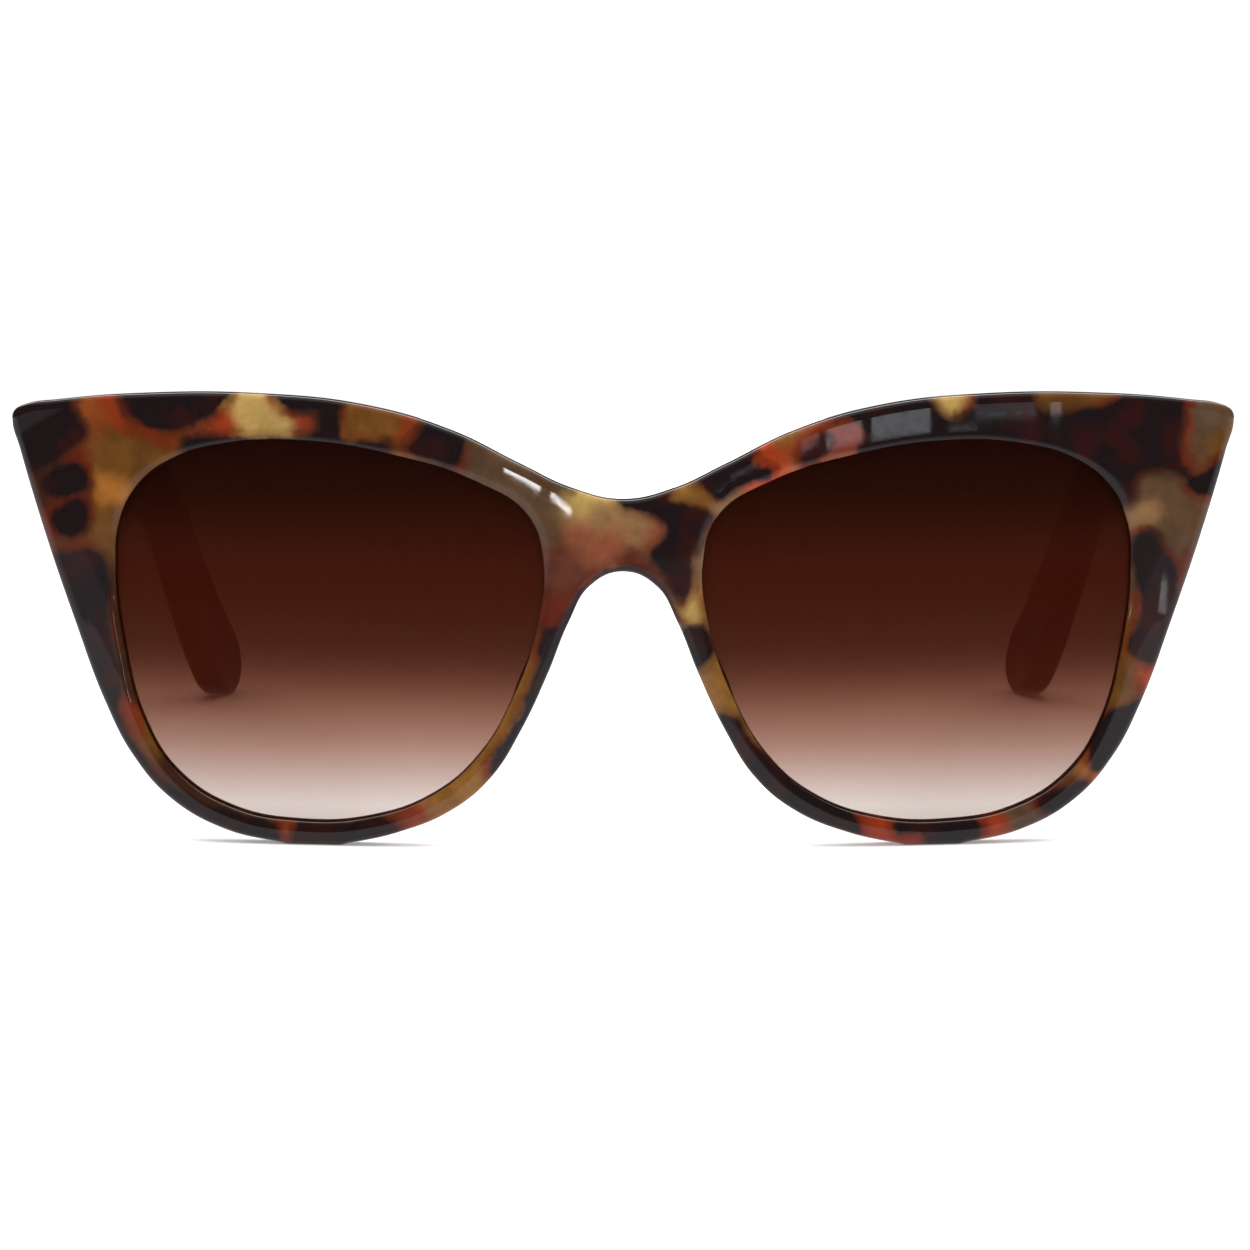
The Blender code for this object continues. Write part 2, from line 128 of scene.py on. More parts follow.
# Along the top of the lens the bevel thins to this share of its width, over this height.
BEVEL_TOP_SHARE = 0.3
BEVEL_TOP_Z = 47.4
BEVEL_FADE = 4.5
# Rows of points round a lens opening, closest together where the bevel turns.
BEVEL_ROWS = (0.4, 0.6, 0.75, 0.87, 1.0, 1.2)
LIP_ROUND = 0.2
LIP_BACK_ROUND = 0.35
GROOVE_HALF = 0.85
GROOVE_DEPTH = 0.75
WING_SLOPE = 0.085
WING_SOFT = 0.35
WING = (
    (56.0, 60.0), (56.0, 53.4), (56.5, 49.5), (59.4, 46.2), (62.4, 41.0), (63.4, 35.0), (62.4, 27.0),
    (60.6, 20.0), (57.5, 12.5), (53.0, 6.4), (50.0, 3.0), (50.0, -20.0), (110.0, -20.0), (110.0, 60.0),
)

# Roundings and depths of the other pieces. The end block starts BLOCK_ROOT behind the mid-plane.
BLOCK_ROOT = 0.9
BLOCK_CORNER = 1.2
BLOCK_ROUND = 0.45
LENS_ROUND = 0.3
LEAF_ROUND = 0.1
KNUCKLE_ROUND = 0.12
SCREW_SLOT_HALF = 0.225
SCREW_SLOT_DEPTH = 0.42
# Each temple edge goes from a tight rounding at the hinge end to a full one a little behind it.
TEMPLE_END = (0.3, 2.3)
TEMPLE_ROUND_INSIDE = (0.35, 1.1)
TEMPLE_ROUND_OUTSIDE = (0.45, 1.3)
# Play round a sunk hinge leaf, and how far a cutter stands out of what it cuts.
POCKET_GAP = 0.05
CUTTER_REACH = 2.0

# Triangles: side ratio of the filling grid's rows, and its clearance from the rim rows.
GRID_ROW = 0.866
GRID_CLEARANCE = 0.6
RIM_TURNS = 3

# Middle line of a temple, which its scattered patches follow.
TEMPLE_FALL = 0.075
EAR_BEND_Y = 97.0
EAR_FALL = 0.62
PATCH_STEP = 7.0
PATCH_POINTS = 7
PATCH_SEED = 7

# Height in millimetres that a colour ramp on the lens covers.
RAMP_HEIGHT = 50.0

# Metres: the floor, and the camera that takes the photograph's view.
FLOOR_HALF_WIDTH = 0.9
FLOOR_AHEAD = 0.25
FLOOR_BACK_Y = 0.62
CAMERA_TILT = math.radians(6.5)
CAMERA_DISTANCE = 0.6
CAMERA_LENS_MM = 148.1
CAMERA_TARGET_X = 0.00022
CAMERA_TARGET_Z = 0.0266
WINDOW_LIGHT = "window_light"


# ---- shapes ----

def smooth_loop(points, corners=(), step=0.45):
    """Evenly spaced points on the closed smooth curve through some points; corner pairs join straight."""
    curve = bpy.data.curves.new("loop", "CURVE")
    curve.dimensions = "2D"
    curve.fill_mode = "NONE"
    curve.resolution_u = 24
    spline = curve.splines.new("BEZIER")
    spline.bezier_points.add(len(points) - 1)
    sharp = {index for pair in corners for index in pair}
    for index, (knot, (u, v)) in enumerate(zip(spline.bezier_points, points)):
        knot.co = (u, v, 0.0)
        knot.handle_left_type = "VECTOR" if index in sharp else "AUTO"
        knot.handle_right_type = "VECTOR" if index in sharp else "AUTO"
    spline.use_cyclic_u = True
    holder = bpy.data.objects.new("loop", curve)
    bpy.context.scene.collection.objects.link(holder)
    mesh = bpy.data.meshes.new_from_object(holder.evaluated_get(bpy.context.evaluated_depsgraph_get()))
    found = np.array([vert.co[:2] for vert in mesh.vertices])
    bpy.data.objects.remove(holder)
    bpy.data.meshes.remove(mesh)
    return resample(found, step)


def resample(points, step):
    """Evenly spaced points along a closed loop, going round it anticlockwise."""
    points = np.asarray(points, float)
    closed = np.vstack([points, points[:1]])
    run = np.concatenate([[0.0], np.cumsum(np.linalg.norm(np.diff(closed, axis=0), axis=1))])
    count = max(8, int(round(run[-1] / step)))
    at = np.arange(count) * run[-1] / count
    loop = np.column_stack([np.interp(at, run, closed[:, k]) for k in (0, 1)])
    u, v = loop.T
    turned = np.sum(u * np.roll(v, -1) - v * np.roll(u, -1))
    return loop if turned > 0 else loop[::-1].copy()


def both_halves(points):
    return points + tuple((-x, z) for x, z in points[-2:0:-1])


def mirrored(loop):
    return (loop * (-1.0, 1.0))[::-1].copy()


def left_normals(loop):
    ahead = np.roll(loop, -1, 0) - np.roll(loop, 1, 0)
    normal = np.column_stack([-ahead[:, 1], ahead[:, 0]])
    return normal / np.linalg.norm(normal, axis=1)[:, None]


def signed_distance(points, loop):
    """Distance from each point to a closed loop, positive inside it, worked out in chunks of points."""
    chunk, tiny = 1500, 1e-12
    found = np.empty(len(points))
    a, edge = loop, np.roll(loop, -1, 0) - loop
    length = (edge ** 2).sum(1)
    rise = np.where(np.abs(edge[:, 1]) < tiny, tiny, edge[:, 1])
    for start in range(0, len(points), chunk):
        p = points[start:start + chunk, None, :]
        t = np.clip(((p - a) * edge).sum(2) / length, 0.0, 1.0)
        gap = p - a - t[..., None] * edge
        near = np.sqrt((gap ** 2).sum(2).min(1))
        between = (a[:, 1] > p[..., 1]) != (a[:, 1] + edge[:, 1] > p[..., 1])
        crossing = a[:, 0] + (p[..., 1] - a[:, 1]) * edge[:, 0] / rise
        inside = (between & (p[..., 0] < crossing)).sum(1) % 2 == 1
        found[start:start + chunk] = np.where(inside, near, -near)
    return found


def quarter(radius, steps):
    """Distances from an edge at which a quarter round of that radius is cut into even turns."""
    return [radius * (1.0 - math.cos(math.pi / 2 * k / steps)) for k in range(steps + 1)]


def rounding(d, radius):
    t = np.clip(1.0 - d / radius, 0.0, 1.0)
    return radius * (1.0 - np.sqrt(np.maximum(0.0, 1.0 - t * t)))


def soft_ramp(d, soft):
    """Zero below nought and d above it, with a soft turn between."""
    return soft * np.logaddexp(0.0, d / soft)


def fill(outer, holes, outer_rows, hole_rows, spacing):
    """Points and triangles over a flat region, with rows of points along its rims."""
    points, edges = [], []
    rims = [(outer, 1.0, outer_rows)] + [(hole, -1.0, hole_rows) for hole in holes]
    for loop, way, rows in rims:
        normal = left_normals(loop) * way
        for row in rows:
            start, count = len(points), len(loop)
            points.extend(loop + normal * row)
            edges.extend((start + k, start + (k + 1) % count) for k in range(count))
    low, high = outer.min(0), outer.max(0)
    columns = np.arange(low[0], high[0], spacing)
    rows = np.arange(low[1], high[1], spacing * GRID_ROW)
    grid = np.array([
        (u + spacing * (0.5 if k % 2 else 0.0), v) for k, v in enumerate(rows) for u in columns
    ])
    clearance = GRID_CLEARANCE * spacing
    keep = signed_distance(grid, outer) > outer_rows[-1] + clearance
    for hole in holes:
        keep &= signed_distance(grid, hole) < -(hole_rows[-1] + clearance)
    points.extend(grid[keep])
    made = delaunay_2d_cdt([Vector(p) for p in points], edges, [], 0, 1e-7)
    flat = np.array([v[:] for v in made[0]])
    faces = np.array(made[2])
    centre = flat[faces].mean(1)
    good = signed_distance(centre, outer) > 0
    for hole in holes:
        good &= signed_distance(centre, hole) < 0
    return flat, faces[good]


def slab(flat, faces, low, high, chain):
    """Closed form between two heights over a filled region.

    chain(i) lists the extra (point, height) pairs down the rim at point i.
    """
    count = len(flat)
    verts = [(u, v, w) for (u, v), w in zip(flat, low)] + [(u, v, w) for (u, v), w in zip(flat, high)]
    made = [tuple(f) for f in faces] + [tuple(int(i) + count for i in f[::-1]) for f in faces]
    directed = {(f[k], f[(k + 1) % 3]) for f in made[:len(faces)] for k in range(3)}
    rim = [(a, b) for a, b in directed if (b, a) not in directed]
    ladders = {}
    for a, _ in rim:
        rungs = [a]
        for (u, v), w in chain(a):
            rungs.append(len(verts))
            verts.append((u, v, w))
        ladders[a] = rungs + [a + count]
    for a, b in sorted(rim):
        for k in range(len(ladders[a]) - 1):
            made.append((ladders[b][k], ladders[a][k], ladders[a][k + 1], ladders[b][k + 1]))
    return np.array(verts), made


def straight_wall(flat, low, high, steps=2):
    """Chain for slab() that cuts a plain rim into even steps."""
    def chain(i):
        return [(flat[i], low[i] + (high[i] - low[i]) * k / (steps + 1)) for k in range(1, steps + 1)]
    return chain


def bar(outer, holes, low, high, edge, spacing):
    """Slab of even height with rounded rims."""
    rows = quarter(edge, RIM_TURNS)
    flat, faces = fill(outer, holes, rows, rows, spacing)
    near = signed_distance(flat, outer)
    for hole in holes:
        near = np.minimum(near, -signed_distance(flat, hole))
    drop = rounding(np.maximum(near, 0.0), edge)
    under, over = low + drop, high - drop
    return slab(flat, faces, under, over, straight_wall(flat, under, over))


def rounded_rectangle(low, high, radius, step):
    (u0, v0), (u1, v1) = low, high
    steps = 8
    loop = []
    for cu, cv, turn in (
        (u1 - radius, v0 + radius, -90), (u1 - radius, v1 - radius, 0),
        (u0 + radius, v1 - radius, 90), (u0 + radius, v0 + radius, 180),
    ):
        for k in range(steps + 1):
            angle = math.radians(turn + 90 * k / steps)
            loop.append((cu + radius * math.cos(angle), cv + radius * math.sin(angle)))
    return resample(loop, step)


def sag(x):
    """How far back the front's curve in plan has gone at this x."""
    return x ** 2 / (2 * PLAN_RADIUS)


def box_form(low, high):
    (a, b, c), (d, e, f) = low, high
    verts = np.array([(x, y, z) for x in (a, d) for y in (b, e) for z in (c, f)])
    faces = [(0, 1, 3, 2), (4, 6, 7, 5), (0, 4, 5, 1), (2, 3, 7, 6), (0, 2, 6, 4), (1, 5, 7, 3)]
    return verts, faces


def lathe(profile, centre, segments=56):
    """Form turned about an upright axis from (radius, z) points, closed at both ends."""
    verts, faces = [], []
    for radius, z in profile:
        for k in range(segments):
            angle = 2 * math.pi * k / segments
            verts.append((centre[0] + radius * math.cos(angle), centre[1] + radius * math.sin(angle), z))
    for row in range(len(profile) - 1):
        for k in range(segments):
            a, b = row * segments + k, row * segments + (k + 1) % segments
            faces.append((a, b, b + segments, a + segments))
    faces.append(tuple(range(segments))[::-1])
    faces.append(tuple(range((len(profile) - 1) * segments, len(profile) * segments)))
    return np.array(verts), faces


def join(*forms):
    verts, faces = [], []
    for points, polygons in forms:
        start = sum(len(v) for v in verts)
        verts.append(np.asarray(points))
        faces.extend(tuple(int(i) + start for i in f) for f in polygons)
    return np.vstack(verts), faces


def turn_side(form, side):
    """The form as made for the wearer's left, or its mirror image for the right."""
    verts, faces = form
    return (verts, faces) if side > 0 else (verts * (-1.0, 1.0, 1.0), [tuple(f)[::-1] for f in faces])


def to_mesh(name, form):
    """Mesh in metres, in the row frame, from millimetre points."""
    verts, faces = form
    mesh = bpy.data.meshes.new(name)
    mesh.from_pydata(((verts + (0.0, SHIFT_Y, 0.0)) * MM).tolist(), [], [tuple(map(int, f)) for f in faces])
    work = bmesh.new()
    work.from_mesh(mesh)
    bmesh.ops.remove_doubles(work, verts=work.verts, dist=1e-7)
    bmesh.ops.recalc_face_normals(work, faces=work.faces)
    work.to_mesh(mesh)
    work.free()
    return mesh


def cut(form, cutter):
    """Take a cutter away from a form. Both are in millimetres, and so is what comes back."""
    target = bpy.data.objects.new("target", to_mesh("target", form))
    tool = bpy.data.objects.new("tool", to_mesh("tool", cutter))
    for item in (target, tool):
        bpy.context.scene.collection.objects.link(item)
    step = target.modifiers.new("cut", "BOOLEAN")
    step.object = tool
    step.operation = "DIFFERENCE"
    step.solver = "EXACT"
    mesh = bpy.data.meshes.new_from_object(target.evaluated_get(bpy.context.evaluated_depsgraph_get()))
    verts = np.array([v.co[:] for v in mesh.vertices]) / MM - (0.0, SHIFT_Y, 0.0)
    faces = [tuple(p.vertices) for p in mesh.polygons]
    bpy.data.objects.remove(target)
    bpy.data.objects.remove(tool)
    bpy.data.meshes.remove(mesh)
    return verts, faces


def add_piece(name, form, material, body, slot, *replaces, sharp=38.0):
    """Shaded piece that rides on a body and takes the place of its CAD nodes."""
    mesh = to_mesh(name, form)
    mesh.materials.append(material)
    mesh.shade_smooth()
    mesh.set_sharp_from_angle(angle=math.radians(sharp))
    piece = bpy.data.objects.new(name, mesh)
    bpy.context.scene.collection.objects.link(piece)
    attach(piece, body)
    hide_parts(*replaces)
    return piece


def front_form():
    """The acetate front: plate, bevels, lens grooves, wing creases and end blocks."""
    half = both_halves(FRONT_OUTLINE)
    count = len(half)
    flats = FRONT_FLATS + tuple((count - b, count - a) for a, b in FRONT_FLATS)
    outer = smooth_loop(half, flats)
    opening = smooth_loop(LENS_OPENING)
    holes = [opening, mirrored(opening)]
    outer_rows = quarter(EDGE_ROUND, 6) + [EDGE_ROUND + 0.1]
    hole_rows = quarter(LIP_ROUND, RIM_TURNS) + list(BEVEL_ROWS)
    flat, faces = fill(outer, holes, outer_rows, hole_rows, spacing=0.75)
    near_edge = np.maximum(0.0, signed_distance(flat, outer))
    near_lens = np.maximum(0.0, np.minimum(*(-signed_distance(flat, hole) for hole in holes)))
    fold = signed_distance(np.abs(flat), resample(WING, step=0.7))
    full = np.clip((BEVEL_TOP_Z - flat[:, 1]) / BEVEL_FADE, 0.0, 1.0)
    wide = BEVEL_WIDTH * (BEVEL_TOP_SHARE + (1.0 - BEVEL_TOP_SHARE) * full)
    low = (
        -PLATE_HALF
        + rounding(near_edge, EDGE_ROUND)
        + BEVEL_SLOPE * soft_ramp(wide - near_lens, BEVEL_SOFT)
        + rounding(near_lens, LIP_ROUND)
        + WING_SLOPE * soft_ramp(fold, WING_SOFT)
    )
    high = PLATE_HALF - rounding(near_edge, BACK_ROUND) - rounding(near_lens, LIP_BACK_ROUND)
    rims = np.vstack([outer] + holes)
    into = np.vstack([left_normals(outer)] + [-left_normals(hole) for hole in holes])
    tree = KDTree(len(rims))
    for k, (u, v) in enumerate(rims):
        tree.insert((u, v, 0.0), k)
    tree.balance()
    plain = straight_wall(flat, low, high)

    def chain(i):
        _, k, _ = tree.find((flat[i][0], flat[i][1], 0.0))
        if k < len(outer):
            return plain(i)
        deep = flat[i] + into[k] * GROOVE_DEPTH
        return [
            (flat[i], -GROOVE_HALF), (deep, -GROOVE_HALF), (deep, GROOVE_HALF), (flat[i], GROOVE_HALF),
        ]

    verts, faces = slab(flat, faces, low, high, chain)
    verts = verts[:, (0, 2, 1)]
    verts[:, 1] += sag(verts[:, 0])
    return join((verts, faces), end_block(1), end_block(-1))


def end_block(side):
    """Solid block behind a wing, rooted in the plate, with a pocket for its hinge leaf."""
    corners = (BLOCK_X[0], BLOCK_Z[0]), (BLOCK_X[1], BLOCK_Z[1])
    loop = rounded_rectangle(*corners, BLOCK_CORNER, step=0.3)
    rows = quarter(BLOCK_ROUND, 4)
    flat, faces = fill(loop, [], rows, rows, spacing=1.0)
    near = np.maximum(0.0, signed_distance(flat, loop))
    low = sag(flat[:, 0]) + BLOCK_ROOT
    high = BLOCK_BACK_Y - rounding(near, BLOCK_ROUND)
    verts, faces = slab(flat, faces, low, high, straight_wall(flat, low, high))
    tall = HINGE_HALF + POCKET_GAP
    deep = BLOCK_BACK_Y - LEAF_THICKNESS - POCKET_GAP
    pocket = box_form(
        (FRONT_LEAF_X[0] - POCKET_GAP, deep, HINGE_Z - tall),
        (FRONT_LEAF_X[1] + POCKET_GAP, BLOCK_BACK_Y + CUTTER_REACH, HINGE_Z + tall),
    )
    return turn_side(cut((verts[:, (0, 2, 1)], faces), pocket), side)


def lens_form():
    """Lens with a rounded edge that sits in the groove."""
    opening = smooth_loop(LENS_OPENING)
    outer = resample(opening - left_normals(opening) * LENS_SEAT, step=0.6)
    verts, faces = bar(outer, [], -LENS_HALF, LENS_HALF, LENS_ROUND, spacing=1.6)
    verts = verts[:, (0, 2, 1)]
    verts[:, 1] += sag(verts[:, 0])
    return verts, faces


def inner_face(y):
    """Where a temple's inner face lies at this y: it tapers inwards and leans in behind the ear."""
    lean = TEMPLE_LEAN * np.maximum(0.0, y - TEMPLE_LEAN_FROM_Y) ** 2
    return TEMPLE_INNER_X - TEMPLE_TAPER * (y - BLOCK_BACK_Y) - lean


def temple_form():
    """Temple with rounded edges, an ear bend and a pocket for its hinge leaf."""
    outer = smooth_loop(TEMPLE_OUTLINE, TEMPLE_CORNERS, step=0.5)
    rows = quarter(TEMPLE_ROUND_OUTSIDE[1], 6)
    flat, faces = fill(outer, [], rows, rows, spacing=0.95)
    near = np.maximum(0.0, signed_distance(flat, outer))
    end = flat[:, 0] - TEMPLE_OUTLINE[0][0]
    low = rounding(near, np.interp(end, TEMPLE_END, TEMPLE_ROUND_INSIDE))
    high = TEMPLE_THICKNESS - rounding(near, np.interp(end, TEMPLE_END, TEMPLE_ROUND_OUTSIDE))
    verts, faces = slab(flat, faces, low, high, straight_wall(flat, low, high))
    verts = verts[:, (2, 0, 1)]
    verts[:, 0] += inner_face(verts[:, 1])
    tall = HINGE_HALF + POCKET_GAP
    deep = TEMPLE_INNER_X + LEAF_THICKNESS + POCKET_GAP
    pocket = box_form(
        (TEMPLE_INNER_X - CUTTER_REACH, TEMPLE_OUTLINE[0][0] - CUTTER_REACH, HINGE_Z - tall),
        (deep, TEMPLE_LEAF_Y[1] + POCKET_GAP, HINGE_Z + tall),
    )
    return cut((verts, faces), pocket)


def pad_form():
    """Half an ellipsoid on the back of the nose flank, splayed as it leaves the front."""
    around, up = 64, 20
    rx, ry, rz = PAD_SEMI_AXES
    verts, faces = [], []
    for row in range(up):
        rise = math.pi / 2 * row / up
        share, height = math.cos(rise), ry * math.sin(rise)
        for k in range(around):
            angle = 2 * math.pi * k / around
            verts.append((rx * share * math.cos(angle), height, rz * share * math.sin(angle)))
    verts.append((0.0, ry, 0.0))
    verts.append((0.0, 0.0, 0.0))
    for k in range(around):
        for row in range(up - 1):
            a, b = row * around + k, row * around + (k + 1) % around
            faces.append((a, b, b + around, a + around))
        faces.append(((up - 1) * around + k, (up - 1) * around + (k + 1) % around, up * around))
        faces.append(((k + 1) % around, k, up * around + 1))
    verts = np.array(verts) @ np.array(Matrix.Rotation(-PAD_SLOPE, 3, "Y")).T
    verts[:, 0] += PAD_SPLAY * verts[:, 1]
    verts += (PAD_CENTRE[0], PLATE_HALF, PAD_CENTRE[1])
    verts[:, 1] += sag(verts[:, 0])
    return verts, faces


def knuckle_forms(indices, reach, heading):
    """Bored knuckles on the hinge axis, each with a web that reaches to its leaf."""
    steps = 48
    arc = math.asin(KNUCKLE_WEB / KNUCKLE_RADIUS)
    outline = []
    for k in range(steps + 1):
        angle = heading + arc + (2 * math.pi - 2 * arc) * k / steps
        outline.append((KNUCKLE_RADIUS * math.cos(angle), KNUCKLE_RADIUS * math.sin(angle)))
    along = np.array((math.cos(heading), math.sin(heading)))
    across = np.array((-along[1], along[0])) * KNUCKLE_WEB
    outline += [tuple(along * reach - across), tuple(along * reach + across)]
    turn = np.linspace(0.0, 2 * math.pi, 61)[:-1]
    circle = np.column_stack([np.cos(turn), np.sin(turn)])
    shell = resample(outline, step=0.17) + (AXIS_X, AXIS_Y)
    bore = resample(circle * KNUCKLE_BORE, step=0.15) + (AXIS_X, AXIS_Y)
    forms = []
    for index in indices:
        low = HINGE_Z - HINGE_HALF + index * (KNUCKLE_HEIGHT + KNUCKLE_GAP)
        forms.append(bar(shell, [bore], low, low + KNUCKLE_HEIGHT, KNUCKLE_ROUND, spacing=0.3))
    return forms


def leaf_form(span, depth, corner, step, spacing, axes, knuckles, heading):
    """Hinge leaf drawn over a span and LEAF_THICKNESS deep, turned to its axes, with its knuckles."""
    corners = (span[0], HINGE_Z - HINGE_HALF), (span[1], HINGE_Z + HINGE_HALF)
    loop = rounded_rectangle(*corners, corner, step)
    verts, faces = bar(loop, [], depth, depth + LEAF_THICKNESS, LEAF_ROUND, spacing)
    reach = HINGE_OFFSET + LEAF_SINK
    return join((verts[:, axes], faces), *knuckle_forms(knuckles, reach, math.radians(heading)))


def screw_form():
    """Slotted screw with a crowned head."""
    tip = HINGE_Z - HINGE_HALF
    seat = HINGE_Z + HINGE_HALF + KNUCKLE_GAP
    top = seat + SCREW_HEAD_HEIGHT
    r = SCREW_HEAD_RADIUS
    profile = [
        (0.45, tip), (0.6, tip + 0.08), (SCREW_RADIUS, tip + 0.2), (SCREW_RADIUS, seat), (r - 0.08, seat),
        (r, seat + 0.08), (r, seat + 0.42), (r - 0.06, seat + 0.55), (r - 0.2, seat + 0.68),
        (r - 0.45, seat + 0.79), (r - 0.8, seat + 0.87), (0.3, top),
    ]
    slot = box_form(
        (AXIS_X - CUTTER_REACH, AXIS_Y - SCREW_SLOT_HALF, top - SCREW_SLOT_DEPTH),
        (AXIS_X + CUTTER_REACH, AXIS_Y + SCREW_SLOT_HALF, top + CUTTER_REACH),
    )
    return cut(lathe(profile, (AXIS_X, AXIS_Y)), slot)


# ---- tortoise pattern ----
# Patches are closed outlines on the front, as (x, z) in millimetres.

DARK = (
    # wearer's right wing
    ((-76, 50), (-73, 54), (-67, 54), (-64.6, 53.4), (-65.4, 51.9), (-64.9, 50.4), (-63.9, 48.8),
     (-64.2, 47.6), (-66.0, 46.1), (-67.8, 44.8), (-72, 43.6), (-74, 46)),
    ((-69.2, 43.4), (-67.4, 44.4), (-65.0, 45.0), (-63.4, 43.4), (-63.6, 41.7), (-65.2, 41.2),
     (-67.6, 40.9), (-69.0, 41.8)),
    ((-68.4, 38.8), (-66.4, 40.2), (-64.4, 41.0), (-63.4, 39.4), (-64.0, 37.1), (-65.4, 35.9),
     (-66.9, 36.2), (-68.2, 37.6)),
    ((-69, 33.2), (-65.2, 34.4), (-62.2, 34.4), (-61.2, 32.4), (-61.2, 28), (-60.6, 23), (-59.7, 19.4),
     (-59.9, 15), (-57.4, 10.6), (-54.4, 7.2), (-49, 4.6), (-44, 3.4), (-41.4, 2.8), (-40.8, 0),
     (-44, -2), (-54, 2), (-60, 8), (-66, 22)),
    # wearer's right brow
    ((-59.4, 55), (-59.0, 52), (-57.6, 50.2), (-55.0, 49.0), (-52.0, 49.2), (-49.4, 50.2),
     (-47.4, 51.8), (-46.2, 55)),
    ((-41.4, 55), (-40.4, 52.6), (-38.0, 51.6), (-36.0, 51.4), (-35.6, 50.0), (-36.6, 48.9),
     (-42, 48.6), (-48, 48.5), (-52, 47.4), (-50, 46), (-40, 47), (-28, 46.2), (-27.4, 47.7),
     (-33.0, 48.4), (-33.2, 50.4), (-33.4, 52), (-32.4, 55)),
    ((-25.6, 47.4), (-24.0, 49.0), (-23.4, 50.6), (-22.6, 53), (-18.6, 50.4), (-18.4, 48.2),
     (-19.4, 45.4), (-22.4, 45.8)),
    # bridge
    ((-9.8, 46), (-8.8, 43.6), (-7.4, 42.7), (-6.2, 42.9), (-7, 45)),
    ((-0.5, 43), (-0.4, 40.6), (1.4, 39.9), (3.6, 39.2), (5.0, 38.0), (4.6, 36.8), (3.5, 35.4),
     (3.4, 34.2), (4.6, 32.6), (5.8, 30.2), (6.6, 29.0), (7.5, 29.8), (8.1, 32), (8.6, 35), (9.6, 37.6),
     (10.8, 39.2), (8.6, 40.5), (6.0, 41.2), (5.2, 43)),
    # wearer's left brow
    ((8.4, 44.8), (9.6, 42.4), (11.0, 41.2), (13.4, 42.6), (17.4, 44.6), (15.4, 45.4), (15.4, 47.0),
     (14.4, 48)),
    ((20.6, 45.8), (24.4, 46.8), (25.0, 48.0), (24.2, 49.4), (22.9, 48.6), (21.6, 47.4)),
    ((27.6, 46), (28.2, 49.4), (26.6, 50.6), (24.4, 50.6), (26, 52.4), (35.4, 55), (36.2, 52.8),
     (37.6, 51.0), (40.4, 50.9), (41.4, 52), (41.6, 55), (48.2, 55), (48.5, 52.6), (50.0, 51.3),
     (53.4, 51.5), (55.6, 51.8), (57.6, 52.2), (60, 54), (67.4, 54), (66.8, 51.6), (66.3, 49.5),
     (66.1, 47), (66.6, 44.9), (67.8, 43.8), (66.2, 43.2), (64.8, 44.0), (63, 44.3), (60.8, 43.6),
     (60, 40), (55, 44), (50, 46), (38, 46.5)),
    ((66.8, 42.7), (68.2, 43.5), (73, 45), (72, 41), (69, 41.0), (67.6, 41.5)),
    ((60.4, 35.6), (61.8, 36.9), (65.3, 33.3), (66.1, 32.2), (65.9, 30.2), (68, 24), (64, 20.8),
     (61.4, 21.3), (60.2, 22.6), (61.3, 27), (61.5, 29), (60.9, 31)),
    ((57.5, 15.6), (59, 15.9), (63.4, 17), (61.5, 10), (57.6, 8.4), (56, 8.3), (55.4, 9.4)),
    ((49.4, 5.2), (52.4, 6.4), (54.4, 7.6), (55.9, 6.6), (54, 3.4), (51, 3.2)),
    ((33, 3.4), (37, 3.2), (42.2, 2.8), (41.4, -1), (36.4, -1), (35.4, 1.0), (32, 2.0)),
    # wearer's left nose flank and lower rim
    ((7.0, 26.2), (8.6, 26.6), (10.4, 25.8), (10.9, 24.0), (10.3, 22.6), (9.3, 21.6), (8.2, 21.2)),
    ((11.2, 15.8), (13.4, 15.6), (14.9, 13.6), (17.4, 10.9), (22.4, 6.6), (27.2, 4.4), (27.4, 0),
     (20, 3), (14, 8)),
    # wearer's right nose flank and lower rim
    ((-9.4, 25.8), (-8.0, 26.4), (-6.4, 28.4), (-5.0, 31), (-5, 26), (-8, 18), (-13, 8), (-15.2, 8.4),
     (-15.6, 10.4), (-13.4, 14), (-11.2, 18.6), (-10, 22)),
    ((-38.4, 3.2), (-33, 3.2), (-27.6, 3.4), (-26.6, 2.2), (-28, -1), (-38.6, -1)),
    # edge of the nose arch: painted shade, a dark band laid along the arch's rounded edge
    ((-8.6, 21.4), (-6.2, 27), (-4.4, 30.6), (-2.6, 32.8), (0, 33.8), (2.6, 33.2), (4.4, 31.4),
     (6.2, 28.2), (6, 26), (3.6, 29.6), (0, 31.4), (-3.6, 29.6), (-6.4, 25)),
)
